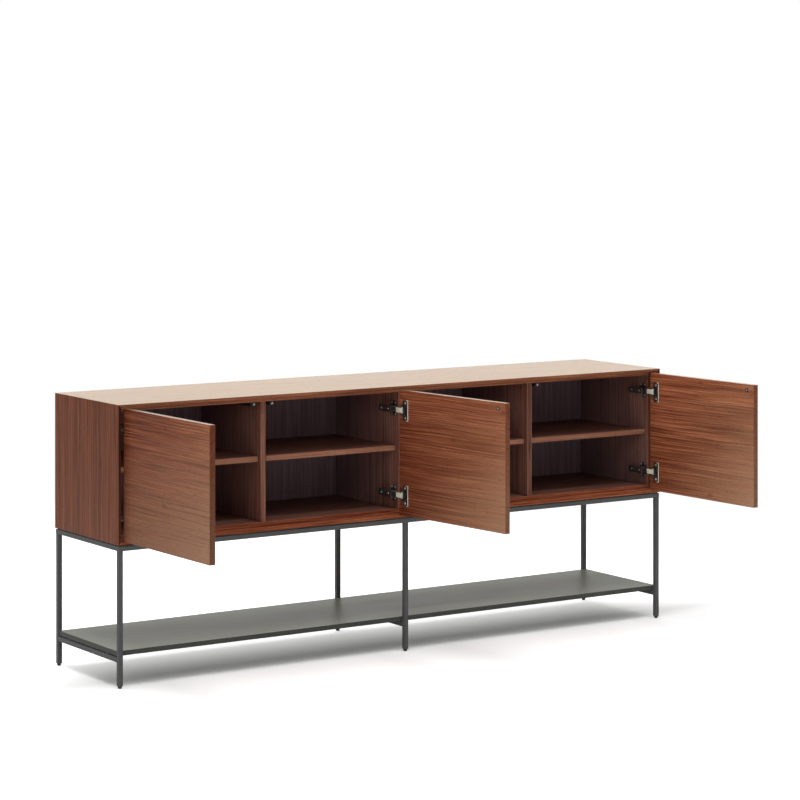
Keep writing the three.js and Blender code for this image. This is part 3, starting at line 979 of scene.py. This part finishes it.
@dataclass(frozen=True)
class Hanging:
    """How a door hangs: its pivot, the angle it stands open by, and which way it reaches from its hinges."""

    name: str
    pivot: Array
    angle: float
    reach: float

    @classmethod
    def read(cls, name: str, joint: dict[str, Any]) -> Hanging:
        """Take a door's hanging from its joint, whose lower limit is the shut door.

        Args:
            name: The door's body and node.
            joint: The door's joint in the frame.

        Returns:
            The hanging.
        """
        turn = float(joint["axis"][2])
        angle = -math.radians(joint["range_deg"][0]) * turn
        return cls(name, np.array(joint["pos_m"], float), angle, -turn)

    def axes(self) -> Axes:
        """The open door's frame.

        Returns:
            The frame: u along the door from its hinged edge, v from its outer face to its inner, w up.
        """
        cosine, sine = math.cos(self.angle), math.sin(self.angle)
        along = self.reach * np.array((cosine, sine, 0.0))
        inner = np.array((-sine, cosine, 0.0))
        return Axes(self.pivot * np.array((1.0, 1.0, 0.0)), along, inner)


@dataclass
class Door:
    """One veneered door with its cup bores, its strike plate and the cups and screws of its hinges."""

    finishes: Finishes
    hanging: Hanging
    seed: float
    pale: LightLean
    deep: LightLean
    arris: float = 0.7 * MM
    outer_face: float = 9.0 * MM
    thickness: float = 18.0 * MM
    bore_radius: float = 17.5 * MM
    bore_depth: float = 12.6 * MM
    bore_from_edge: float = 22.0 * MM
    bore_margin: float = 20.0 * MM
    cup_wall: float = 0.9 * MM
    cup_radius: float = 17.2 * MM
    cup_depth: float = 12.0 * MM
    cup_fillet: float = 2.0 * MM
    far_edge: float = 0.36
    flange_half_height: float = 31.0 * MM
    flange_half_width: float = 12.0 * MM
    flange_rim: float = 19.2 * MM
    flange_height: float = 1.2 * MM
    flange_bead: float = 2.0 * MM
    bead_width: float = 1.6 * MM
    bead_ease: float = 0.4 * MM
    flange_clear: float = 0.1 * MM
    mouth_round: float = 0.6 * MM
    screw: Size = (3.6 * MM, 1.3 * MM)
    screw_from_middle: float = 22.5 * MM
    screw_from_cup: float = 6.0 * MM
    strike_radius: float = 6.0 * MM
    strike_height: float = 1.3 * MM
    strike_ease: float = 0.5 * MM
    strike_sunk: float = 0.9 * MM
    strike_screw: Size = (3.0 * MM, 0.4 * MM)
    strike_from_edge: float = 30.0 * MM
    name: str = field(init=False)
    axes: Axes = field(init=False)
    width: float = field(init=False)
    bottom: float = field(init=False)
    top: float = field(init=False)
    inner_face: float = field(init=False)

    def __post_init__(self) -> None:
        """Read the door's own frame and size."""
        self.name = self.hanging.name
        self.axes = self.hanging.axes()
        vertices = bpy.data.objects[self.name].data.vertices
        corners = np.empty(3 * len(vertices), np.float32)
        vertices.foreach_get("co", corners)
        local = self.axes.measure(corners.reshape(-1, 3).astype(float))
        self.width = float(local[:, 0].max())
        self.bottom, self.top = float(local[:, 2].min()), float(local[:, 2].max())
        self.inner_face = self.outer_face + self.thickness

    def hinge_height(self, level: str) -> float:
        """The height of a hinge's middle, from its cup in the frame."""
        low, high = node_box(f"{self.name}_{level}_hinge_cup")
        return float(low[2] + high[2]) / 2

    def on_inner_face(self, along: float, height: float) -> Axes:
        """A frame on the door's inner face: u along the door, v up and w out of the face."""
        return self.axes.at(along, self.inner_face, height).ordered("uwv")

    def build(self) -> None:
        """Make the door and all that is fastened to it."""
        self.panel()
        for level in LEVELS:
            self.cup(level)
        self.strike()

    def panel(self) -> None:
        """Make the board: its section in u and v carried up, with a bored cell at each hinge.

        The inner side of the section has two more points, at the near and far edges of the bored cells, and
        the height has two more stations at each hinge, so that each bore lies in one cell of the grid.
        """
        near, far = self.bore_from_edge - self.bore_margin, self.bore_from_edge + self.bore_margin
        outline = softened(rectangle(0.0, self.width, self.outer_face, self.inner_face), self.arris)
        after_far_corner = 3 * (ARC_STEPS + 1)
        cell_edges = np.array(((far, self.inner_face), (near, self.inner_face)))
        outline = np.insert(outline, after_far_corner, cell_edges, axis=0)
        heights = sorted(self.hinge_height(level) for level in LEVELS)
        between = [height + side * self.bore_margin for height in heights for side in SIDES]
        grid = sweep_points(outline, *eased_ends(self.bottom, self.top, self.arris, between))
        index = numbered(grid)
        cells = grid_quads(index)
        kept = np.ones(cells.shape[:2], bool)
        bored = [ARC_STEPS + 1 + 2 * order for order in range(len(heights))]
        kept[bored, after_far_corner] = False
        faces = cells[kept].tolist()
        faces += [index[0, ::-1].tolist(), index[-1].tolist()]
        topmost = len(faces) - 1
        points = [grid.reshape(-1, 3)]
        start = index.size
        for row, height in zip(bored, heights):
            ring, bore_faces = self.bore(cells[row, after_far_corner].tolist(), height, start)
            points.append(ring)
            faces.extend(bore_faces)
            start += len(ring)
        shell = Shell(np.concatenate(points), faces).placed(self.axes)
        # Painted light and shade from the door's leans, and painted shade on its two end faces.
        grain = Grain(self.axes.ordered("uwv"), self.seed, self.pale, self.deep, ends=0.7)
        use = self.finishes
        # The top face takes the paler top veneer: a painted highlight.
        lining = (use.highlit_top, (topmost,))
        add_piece(f"walnut_{self.name}", shell, use.veneer, self.name, self.name, grain, lining)

    def bore(self, cell: list[int], height: float, start: int) -> tuple[Array, list[list[int]]]:
        """A round blind bore inside a square cell of the inner face.

        Four faces join the cell's sides to the quarters of the bore's mouth. Then come its wall and floor.

        Args:
            cell: The cell's corners, anticlockwise as seen from outside.
            height: Height of the bore's middle.
            start: Number of points before the bore's own.

        Returns:
            The bore's points, and its faces.
        """
        angle = turn_angles()
        u = self.bore_from_edge - self.bore_radius * np.cos(angle)
        w = height + self.bore_radius * np.sin(angle)
        mouth = np.stack((u, np.full_like(u, self.inner_face), w), axis=1)
        floor = mouth - np.array((0.0, self.bore_depth, 0.0))
        rim = np.arange(ROUND_STEPS) + start
        foot = rim + ROUND_STEPS
        eighth = ROUND_STEPS // 8
        back = np.arange(2 * eighth + 1)
        faces: list[list[int]] = []
        for side in range(4):
            quarter = rim[((2 * side + 7) * eighth - back) % ROUND_STEPS].tolist()
            faces.append([cell[side], cell[(side + 1) % 4], *quarter])
        wall = np.stack((rim, np.roll(rim, -1), np.roll(foot, -1), foot), axis=1)
        return np.concatenate((mouth, floor)), [*faces, *wall.tolist(), foot.tolist()]

    def cup(self, level: str) -> None:
        """Make a hinge's pressed cup and its two screws: its flange is painted dark with shade, with a
        painted highlight along its far edge.

        The flange's edge is the farther of the round rim and the tall plate at each angle of the turn. The
        plate's far edge is level with the rim's, and a low bead runs round it.

        Args:
            level: Which of the door's hinges it is.
        """
        steps = 4 * ROUND_STEPS
        angle = turn_angles(steps)
        shift = self.flange_rim - self.flange_half_width
        plate = ray_to_rectangle(self.flange_half_width, self.flange_half_height, angle, shift)
        edge = np.maximum(plate, self.flange_rim)
        radius, depth, bead, fillet = self.cup_radius, self.cup_depth, self.flange_bead, self.cup_fillet
        inner, floor, clear = radius - self.cup_wall, self.cup_wall - depth, self.flange_clear
        wide, ease = self.bead_width, self.bead_ease
        outer = ((0.4 * inner, -depth), (radius - fillet, -depth), (radius, fillet - depth), (radius, clear))
        rim = ((edge, clear), (edge, bead - 0.75 * ease), (edge - ease, bead), (edge - wide + ease, bead))
        face = ((edge - wide, self.flange_height), (inner + self.mouth_round, self.flange_height))
        inside = (
            (inner, 0.3 * self.flange_height),
            (inner, floor + fillet),
            (inner - fillet, floor),
            (0.4 * inner, floor),
        )
        axes = self.on_inner_face(self.bore_from_edge, self.hinge_height(level))
        cup = turned((*outer, *rim, *face, *inside), axes, steps)
        node = f"{self.name}_{level}_hinge_cup"
        # Painted highlight on the bead's far edge, and painted shade on the rest of the flange and in the
        # cup.
        index = np.arange(len(cup.faces))
        within = index >= (len(outer) + len(rim)) * steps
        far = np.cos(angle)[index % steps] > self.far_edge
        lined = (self.finishes.shade, np.flatnonzero(within | ~far))
        add_piece(f"pressed_{node}", cup, self.finishes.satin, self.name, node, lining=lined)
        across = [side * self.screw_from_middle for side in SIDES]
        places = [axes.at(self.screw_from_cup, height, self.flange_height) for height in across]
        add_screws(f"{node}_screws", self.name, self.finishes.zinc, self.screw, places)

    def strike(self) -> None:
        """Make the round strike plate that the push latch bears on, with its countersunk screw."""
        low, high = node_box(f"{self.name}_latch_plunger")
        face = self.on_inner_face(self.width - self.strike_from_edge, (low[2] + high[2]) / 2)
        radius, top, ease = self.strike_radius, self.strike_height, self.strike_ease
        edge = ((0.5 * radius, 0.0), (radius, 0.0), (radius, top - ease), (radius - ease, top))
        plate = turned((*edge, (0.62 * radius, top), (0.56 * radius, self.strike_sunk)), face)
        add_piece(f"{self.name}_strike_plate", plate, self.finishes.plastic, self.name)
        sunk = face.at(0.0, 0.0, self.strike_sunk)
        add_screws(f"{self.name}_strike_screw", self.name, self.finishes.zinc, self.strike_screw, [sunk])


@dataclass
class HingeArms:
    """The carcass side of a door's hinges: mounting plates, hollow arms and the links that slide in them."""

    finishes: Finishes
    hanging: Hanging
    plate_thickness: float = 2.0 * MM
    plate_setback: float = 4.0 * MM
    plate_length: float = 36.0 * MM
    plate_arris: float = 0.4 * MM
    plate_corner: float = 1.5 * MM
    wing_length: float = 26.0 * MM
    wing_screw_apart: float = 18.0 * MM
    wing_screw_from_end: float = 5.0 * MM
    arm_width: float = 19.0 * MM
    arm_wall: float = 2.0 * MM
    arm_thickness: float = 8.5 * MM
    arm_corner: float = 1.6 * MM
    link_thickness: float = 3.7 * MM
    link_width: float = 14.2 * MM
    bright_length: float = 24.0 * MM
    hook_length: float = 4.0 * MM
    hook_inset: float = 0.2 * MM
    pin_radius: float = 1.5 * MM
    pin_ease: float = 0.4 * MM
    screw: Size = (3.2 * MM, 1.2 * MM)
    front_screw: float = 12.0 * MM
    rear_screw: float = 14.0 * MM
    arris: float = 0.6 * MM

    def build(self) -> None:
        """Make both hinges' arms and links."""
        for level in LEVELS:
            self.arm(level)
            self.link(level)

    def local(self, node: str) -> tuple[Axes, float, float, float]:
        """A hinge part's own frame and size.

        Args:
            node: The frame's node.

        Returns:
            The frame, with u away from the panel, v to the back and w up, and the part's size along each.
        """
        low, high = node_box(node)
        panel = low[0] if self.hanging.reach > 0 else high[0]
        origin = np.array((panel, low[1], (low[2] + high[2]) / 2))
        return Axes(origin, self.hanging.reach * X_AXIS), *(high - low).tolist()

    def nose_setback(self) -> float:
        """How far behind the uprights' front edges the arms begin."""
        front = node_box("left_divider")[0][1]
        return float(node_box(f"{self.hanging.name}_upper_hinge_arm")[0][1] - front)

    def arm(self, level: str) -> None:
        """Make the mounting plate, the post on it and the hollow arm, with their screws.

        Args:
            level: Which of the door's hinges it is.
        """
        node = f"{self.hanging.name}_{level}_hinge_arm"
        axes, depth, length, height = self.local(node)
        half, wing, wall = self.arm_width / 2, height / 2, self.arm_wall
        under = depth - self.arm_thickness
        front = self.plate_setback - self.nose_setback()
        back = front + self.plate_length
        middle = (front + back) / 2
        near, far = middle - self.wing_length / 2, middle + self.wing_length / 2
        upper = np.array(((front, half), (near, half), (near, wing), (far, wing), (far, half), (back, half)))
        cross = np.concatenate((upper * np.array((1.0, -1.0)), upper[::-1]))
        up = axes.ordered("vwu")
        stations = eased_ends(0.0, self.plate_thickness, self.plate_arris)
        plate = sweep(softened(cross, self.plate_corner), *stations, up)
        post_outline = softened(rectangle(front, back, -half + wall, half - wall), self.arris)
        post = sweep(post_outline, np.array(((self.plate_thickness,), (under,))), np.zeros(2), up)
        outer = softened(rectangle(-half, half, under, depth), self.arm_corner)
        inner = softened(rectangle(-half + wall, half - wall, under + wall, depth - wall), self.arris)
        arm = hollow_bar(outer, inner, length, self.arris, axes.ordered("wuv"))
        piece = together((plate, post, arm))
        # The arm, post and plate are in the darkened nickel: painted shade.
        add_piece(f"nickel_{node}", piece, self.finishes.shade, CARCASS, node)
        places = [(depth, back + self.rear_screw, 0.0), (depth, front + self.front_screw, 0.0)]
        for side in SIDES:
            for beside in SIDES:
                along = middle + beside * self.wing_screw_apart / 2
                places.append((self.plate_thickness, along, side * (wing - self.wing_screw_from_end)))
        heads = [axes.at(*place).ordered("vwu") for place in places]
        add_screws(f"{node}_screws", CARCASS, self.finishes.zinc, self.screw, heads)

    def link(self, level: str) -> None:
        """Make the link: a flat bar, a near-white painted glint at its front and painted shade behind, with a
        hook and its cross pin.

        Args:
            level: Which of the door's hinges it is.
        """
        node = f"{self.hanging.name}_{level}_hinge_link"
        axes, depth, length, height = self.local(node)
        bar, half, radius = depth - self.link_thickness, self.link_width / 2, self.pin_radius
        section = softened(rectangle(-half, half, bar, depth), self.arris)
        stations = eased_ends(0.0, length, self.plate_arris, (self.bright_length,))
        flat = sweep(section, *stations, axes.ordered("wuv"))
        # Painted shade on the faces behind the bright front length.
        dark = range((ARC_STEPS + 1) * len(section), (2 * ARC_STEPS + 2) * len(section))
        hook_low = (0.0, 0.0, -half + self.hook_inset)
        hook_high = (bar + self.arris, self.hook_length, half - self.hook_inset)
        shells = [flat, eased_block(hook_low, hook_high, self.plate_arris, axes)]
        pin = peg(radius, 0.0, height / 2 - half, self.pin_ease)
        for side in SIDES:
            end = axes.at(radius, self.hook_length / 2, side * half)
            shells.append(turned(pin, Axes(end.origin, end.u, end.v, side * end.w)))
        lined = (self.finishes.shade, dark)
        body = f"{self.hanging.name}_links"
        link = together(shells)
        add_piece(f"satin_{node}", link, self.finishes.satin, body, node, lining=lined)


@dataclass
class PushLatch:
    """A push latch under the top: a moulded body with a collar, and a plunger with a rubber tip."""

    finishes: Finishes
    door: str
    corner: float = 2.5 * MM
    edge_round: float = 0.8 * MM
    bore_radius: float = 3.9 * MM
    bore_share: float = 0.68
    collar_radius: float = 5.4 * MM
    collar_length: float = 1.2 * MM
    screw: Size = (2.8 * MM, 1.0 * MM)
    screws_along: tuple[float, float] = (0.3, 0.8)
    tip_length: float = 3.0 * MM
    nose: Rings = ((0.4, 0.0), (0.7, 0.15 * MM), (0.92, 0.8 * MM), (1.0, 1.8 * MM))
    rod_share: float = 0.94
    rod_ease: float = 0.6 * MM

    def build(self) -> None:
        """Make the body, the collar round its bore, its screws and the plunger."""
        node = f"{self.door}_latch_body"
        axes, half_width, length, half_height = self.local(node)
        edge = ray_to_rectangle(half_width, half_height, turn_angles(2 * ROUND_STEPS))
        corner_reach = math.hypot(half_width, half_height) - self.corner * (math.sqrt(2) - 1)
        edge = np.minimum(edge, corner_reach)
        bore, collar, front, less = self.bore_radius, self.collar_radius, self.collar_length, self.edge_round
        bore_end = self.bore_share * length
        mouth = ((0.5 * bore, bore_end), (bore, bore_end), (bore, 0.0), (collar, 0.0), (collar, front))
        case = ((edge - less, front), (edge, front + less), (edge, length - less), (edge - less, length))
        shell = turned((*mouth, *case, (0.5 * half_height, length)), axes, 2 * ROUND_STEPS)
        add_piece(f"moulded_{node}", shell, self.finishes.plastic, CARCASS, node)
        places = [axes.at(0.0, -half_height, share * length).origin for share in self.screws_along]
        heads = [Axes(place, X_AXIS, -Y_AXIS, -Z_AXIS) for place in places]
        add_screws(f"{node}_screws", CARCASS, self.finishes.zinc, self.screw, heads)
        self.plunger()

    @staticmethod
    def local(node: str) -> tuple[Axes, float, float, float]:
        """A latch part's own frame and size.

        Args:
            node: The frame's node.

        Returns:
            The frame at its front, with w to the back, then half its width, its length and half its height.
        """
        low, high = node_box(node)
        middle, size = (low + high) / 2, high - low
        axes = Axes(np.array((middle[0], low[1], middle[2])), -X_AXIS, Z_AXIS, Y_AXIS)
        return axes, float(size[0]) / 2, float(size[1]), float(size[2]) / 2

    def plunger(self) -> None:
        """Make the plunger: a black rod with a pale, rounded tip."""
        node = f"{self.door}_latch_plunger"
        axes, radius, length, _ = self.local(node)
        body = f"{self.door}_plunger"
        start, rod, ease = self.tip_length, self.rod_share * radius, self.rod_ease
        nose = [(share * radius, height) for share, height in self.nose]
        tip = turned((*nose, (radius, start), (0.5 * radius, start)), axes)
        add_piece(f"{node}_tip", tip, self.finishes.rubber, body, node)
        shaft = ((0.5 * radius, start), (rod, start), (rod, length - ease), (rod - ease, length))
        shell = turned((*shaft, (0.5 * radius, length)), axes)
        add_piece(f"{node}_rod", shell, self.finishes.plastic, body)


@dataclass
class ShelfPins:
    """The pins that carry the bay shelves, four to a shelf."""

    finishes: Finishes
    radius: float = 2.5 * MM
    collar_radius: float = 3.6 * MM
    collar_length: float = 1.2 * MM
    length: float = 9.0 * MM
    end_round: float = 0.5 * MM
    from_edge: float = 45.0 * MM

    def build(self, shelf: str) -> None:
        """Make one shelf's pins, in the walls beside it and under it.

        Args:
            shelf: The shelf's node.
        """
        low, high = node_box(shelf)
        radius, wide, length, less = self.radius, self.collar_radius, self.length, self.end_round
        collar = ((0.5 * wide, 0.0), (wide, 0.0), (wide, self.collar_length), (radius, self.collar_length))
        rings = (*collar, (radius, length - less), (radius - less, length), (0.5 * radius, length))
        pins = []
        for x, inwards in ((low[0], 1.0), (high[0], -1.0)):
            for y in (low[1] + self.from_edge, high[1] - self.from_edge):
                axes = Axes(np.array((x, y, low[2] - wide)), Y_AXIS, Z_AXIS, inwards * X_AXIS)
                pins.append(turned(rings, axes, ROUND_STEPS // 2))
        add_piece(f"{shelf}_pins", together(pins), self.finishes.nickel, CARCASS)


@dataclass
class SteelBase:
    """The square-tube frame with its lower shelf and its glides."""

    finishes: Finishes
    corner: float = 1.6 * MM
    shelf_arris: float = 0.16 * MM
    edge_band: float = 1.0 * MM
    band_arris: float = 0.3 * MM
    spacer_radius: float = 5.5 * MM
    spacer_from_middle: float = 120.0 * MM
    spacer_sunk: float = 0.5 * MM
    spacer_ease: float = 0.3 * MM
    foot_share: float = 0.77
    stem_share: float = 0.76
    sole_round: float = 1.0 * MM
    shoulder_round: float = 0.4 * MM
    strip_half_width: float = 4.0 * MM
    strip_clear: float = 0.05 * MM
    strip_gap: float = 1.0 * MM
    strip_arris: float = 0.4 * MM
    columns: tuple[str, ...] = ("left", "centre", "right")
    rows: tuple[str, ...] = ("front", "rear")

    def build(self) -> None:
        """Make every tube, the lower shelf, the glides and the dark strips of painted shade under the casing.
        """
        for row in self.rows:
            self.tube(f"{row}_rail", 0)
            for column in self.columns:
                self.tube(f"{row}_{column}_leg", 2)
                self.glide(f"{row}_{column}_glide")
        for column in self.columns:
            self.tube(f"{column}_cross_rail", 1)
            self.tube(f"{column}_lower_bar", 1)
        self.shelf()
        self.strips()

    def strips(self) -> None:
        """Make the dark strips that fill the gap under the casing, painted shade in that gap: one on each
        rail, three on each end's cross rail.
        """
        top = node_box("front_rail")[1][2] + self.strip_clear
        under = node_box("bottom_panel")[0][2] - self.strip_clear
        half = self.strip_half_width
        spans = []
        for row in self.rows:
            low, high = node_box(f"{row}_rail")
            middle = (low[1] + high[1]) / 2
            spans.append((low[0] + half, high[0] - half, middle - half, middle + half))
        clear = self.spacer_radius + self.strip_gap
        for column in ("left", "right"):
            low, high = node_box(f"{column}_cross_rail")
            middle = (low + high) / 2
            near, far = middle[1] - self.spacer_from_middle, middle[1] + self.spacer_from_middle
            for start, end in ((low[1], near - clear), (near + clear, far - clear), (far + clear, high[1])):
                spans.append((middle[0] - half, middle[0] + half, start, end))
        blocks = [eased_block((x0, y0, top), (x1, y1, under), self.strip_arris) for x0, x1, y0, y1 in spans]
        # Dark plastic in the gap under the casing: painted shade.
        add_piece("frame_bearing_strips", together(blocks), self.finishes.plastic, CARCASS)

    def shelf(self) -> None:
        """Make the lower shelf: a lacquered board with a thin, darker band on each edge."""
        node = "lower_shelf"
        low, high = node_box(node)
        band = np.array((self.edge_band, self.edge_band, 0.0))
        inner_low, inner_high = low + band, high - band
        board = eased_block(inner_low, inner_high, self.shelf_arris)
        add_piece("lacquered_lower_shelf", board, self.finishes.lacquer, CARCASS, node)
        spans = (
            (low, (high[0], inner_low[1], high[2])),
            ((low[0], inner_high[1], low[2]), high),
            ((low[0], inner_low[1], low[2]), (inner_low[0], inner_high[1], high[2])),
            ((inner_high[0], inner_low[1], low[2]), (high[0], inner_high[1], high[2])),
        )
        bands = together(eased_block(first, last, self.band_arris) for first, last in spans)
        add_piece("lower_shelf_edge_bands", bands, self.finishes.edge, CARCASS)

    def tube(self, node: str, along: int) -> None:
        """Make a length of square tube with rounded corners, and the spacers on a cross bar.

        Args:
            node: The tube's node.
            along: The axis that it runs along: 0 for X, 1 for Y, 2 for Z.
        """
        order = [(along + 1) % 3, (along + 2) % 3, along]
        axes = Axes(np.zeros(3), *np.eye(3)[order])
        low, high = (corner[order] for corner in node_box(node))
        side = min(high[0] - low[0], high[1] - low[1])
        square = rectangle(low[0], low[0] + side, low[1], low[1] + side)
        outline = softened(square, self.corner, ARC_STEPS + 1)
        shells = [sweep(outline, np.array(((low[2],), (high[2],))), np.zeros(2), axes)]
        if high[0] - low[0] > side + self.corner / 2:
            shells.extend(self.spacers(node, low[0] + side, high[0]))
        add_piece(f"coated_{node}", together(shells), self.finishes.steel, CARCASS, node)

    def spacers(self, node: str, low: float, high: float) -> list[Shell]:
        """The two round spacers on a cross bar.

        Args:
            node: The bar's node.
            low: Height of the bar's top.
            high: Height of what rests on the spacers.

        Returns:
            The placed surfaces.
        """
        x, y, _ = sum(node_box(node)) / 2
        drum = peg(self.spacer_radius, low - self.spacer_sunk, high, self.spacer_ease)
        places = (np.array((x, y + side * self.spacer_from_middle, 0.0)) for side in SIDES)
        return [turned(drum, Axes(place)) for place in places]

    def glide(self, node: str) -> None:
        """Make a tapered glide: a rounded foot, a straight flank and a stem that goes up into the leg.

        Args:
            node: The glide's node.
        """
        low, high = node_box(node)
        x, y, _ = (low + high) / 2
        top, end = float(high[0] - low[0]) / 2, float(high[2])
        shoulder = float(node_box(node.replace("glide", "leg"))[0][2])
        foot, stem, less = self.foot_share * top, self.stem_share * top, self.sole_round
        sole = ((0.5 * foot, 0.0), (foot - less, 0.0), (foot - 0.3 * less, 0.3 * less), (foot, less))
        neck = ((top, shoulder - less), (top - self.shoulder_round, shoulder), (stem, shoulder), (stem, end))
        shell = turned((*sole, *neck, (0.5 * foot, end)), Axes(np.array((x, y, 0.0))))
        add_piece(f"moulded_{node}", shell, self.finishes.plastic, CARCASS, node)


@dataclass
class Studio:
    """The white floor, the soft lights and the camera of the photograph."""

    camera_place: tuple[float, float, float] = (-4.5482, -7.2239, 1.6364)
    camera_yaw: float = math.radians(-33.5039)
    lens: float = 122.67
    sensor: float = 36.0
    shift_up: float = -0.36509
    sight: float = 100.0
    floor_half: float = 30.0
    floor_grey: float = 0.88
    near_floor: float = 1.5
    far_floor: float = 3.2
    open_lift: float = 0.2
    front_lift: float = 0.06
    back_lift: float = 0.38
    front_fade: tuple[float, float] = (-0.37, -0.3)
    back_fade: tuple[float, float] = (-0.27, -0.05)
    ambient: float = 0.5

    def build(self) -> None:
        """Make the whole stage."""
        self.world()
        self.floor()
        self.lamps()
        self.camera()
        bpy.context.scene.view_settings.view_transform = "Standard"

    def world(self) -> None:
        """White to the camera and in reflections, and a weak even light on everything else."""
        world = bpy.data.worlds.new("white_studio")
        bpy.context.scene.world = world
        world.cycles.sampling_method = "NONE"
        graph = Graph(world, "ShaderNodeOutputWorld")
        seen = graph.seen_directly()
        shown = graph.node("Background", {"Color": WHITE, "Strength": 1.0})[0]
        fill = graph.node("Background", {"Color": WHITE, "Strength": self.ambient})[0]
        graph.finish(graph.node("MixShader", {0: seen, 1: fill, 2: shown})[0])

    def floor(self) -> None:
        """A wide white floor that keeps the shadow and, seen directly, is lifted to the background's white.

        Near the object a weak glow is added to the lit floor, least under its front and most behind it.
        Further out the floor gives way to plain white.
        """
        half = self.floor_half
        mesh = bpy.data.meshes.new("studio_floor")
        corners = [(-half, -half, 0.0), (half, -half, 0.0), (half, half, 0.0), (-half, half, 0.0)]
        mesh.from_pydata(corners, [], [(0, 1, 2, 3)])
        graph = Graph.material("white_floor")
        seen = graph.seen_directly()
        matte = graph.node("BsdfDiffuse", {"Color": (self.floor_grey, self.floor_grey, self.floor_grey)})[0]
        place = graph.object_place()
        depth = graph.node("SeparateXYZ", {0: place})["Y"]
        before = graph.spread(depth, *self.front_fade, self.open_lift, self.front_lift)
        behind = graph.spread(depth, *self.back_fade, 0.0, self.back_lift)
        lift = graph.math("MULTIPLY", seen, graph.math("ADD", before, behind))
        glow = graph.node("Emission", {"Color": WHITE, "Strength": lift})[0]
        near = graph.node("AddShader", {0: matte, 1: glow})[0]
        white = graph.node("Emission", {"Color": WHITE, "Strength": 1.0})[0]
        away = graph.node("VectorMath", {0: place}, operation="LENGTH")["Value"]
        amount = graph.math("MULTIPLY", seen, graph.spread(away, self.near_floor, self.far_floor))
        mesh.materials.append(graph.finish(graph.node("MixShader", {0: amount, 1: near, 2: white})[0]))
        floor = bpy.data.objects.new("studio_floor", mesh)
        bpy.context.scene.collection.objects.link(floor)

    def lamps(self) -> None:
        """A wide panel overhead, a large one to the left, and a low one behind that glances off the top."""
        self.panel_light("overhead_panel", (-0.9, -0.4, 8.0), (-0.1, -0.3, 0.0), (8.0, 5.0), 640.0)
        self.panel_light("left_panel", (-17.0, -11.0, 7.0), (0.5, -0.6, 0.5), (9.0, 7.0), 460.0)
        self.panel_light("back_panel_light", (2.5, 4.5, 1.9), (0.0, 0.0, 0.9), (8.0, 1.8), 62.0)

    @staticmethod
    def panel_light(name: str, place: Colour, target: Colour, size: Size, watts: float) -> None:
        """Add a soft rectangular lamp.

        Args:
            name: The lamp's name.
            place: Where it hangs.
            target: The point that it faces.
            size: Its width and height.
            watts: Its power.
        """
        data = bpy.data.lights.new(name, "AREA")
        data.shape = "RECTANGLE"
        data.size, data.size_y = size
        data.energy = watts
        lamp = bpy.data.objects.new(name, data)
        lamp.visible_camera = False
        lamp.location = place
        x, y, z = np.array(target) - np.array(place)
        tilt = math.acos(-z / math.hypot(x, y, z))
        lamp.rotation_euler = (tilt, 0.0, math.atan2(y, x) - math.pi / 2)
        bpy.context.scene.collection.objects.link(lamp)

    def camera(self) -> None:
        """The photograph's camera: level, with its frame shifted down so that uprights stay upright."""
        data = bpy.data.cameras.new("photo_camera")
        data.lens = self.lens
        data.sensor_width = self.sensor
        data.shift_y = self.shift_up
        data.clip_end = self.sight
        camera = bpy.data.objects.new("photo_camera", data)
        camera.location = self.camera_place
        camera.rotation_euler = (math.pi / 2, 0.0, self.camera_yaw)
        bpy.context.scene.collection.objects.link(camera)
        bpy.context.scene.camera = camera


def main() -> None:
    """Load the frame, build each sub-assembly in turn and set the stage."""
    logging.basicConfig(level=logging.INFO, format="%(name)s: %(message)s")
    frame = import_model()
    joints = {joint["name"]: joint for joint in frame["joints"]}
    Studio().build()
    finishes = Finishes()
    casing = Casing(finishes)
    casing.build()
    SteelBase(finishes).build()
    # Painted light and shade on each door: pale paints light, most at the lower corner of the free end, and
    # deep paints shade towards the hinged edge.
    leaves = (
        ("left_door", LightLean(0.62, 0.4, -0.79), LightLean(0.7, -0.43)),
        ("centre_door", LightLean(-0.5, 1.4, -0.75), LightLean(0.82, -0.71, -0.54)),
        ("right_door", LightLean(-0.42, 1.35, -0.7), LightLean(0.5, -0.9, -0.5)),
    )
    for seed, (name, pale, deep) in enumerate(leaves, 20):
        hanging = Hanging.read(name, joints[f"{name}_hinge"])
        Door(finishes, hanging, seed, pale, deep).build()
        HingeArms(finishes, hanging).build()
        PushLatch(finishes, name).build()
    for shelf in casing.shelves:
        ShelfPins(finishes).build(shelf)


if __name__ == "__main__":
    main()
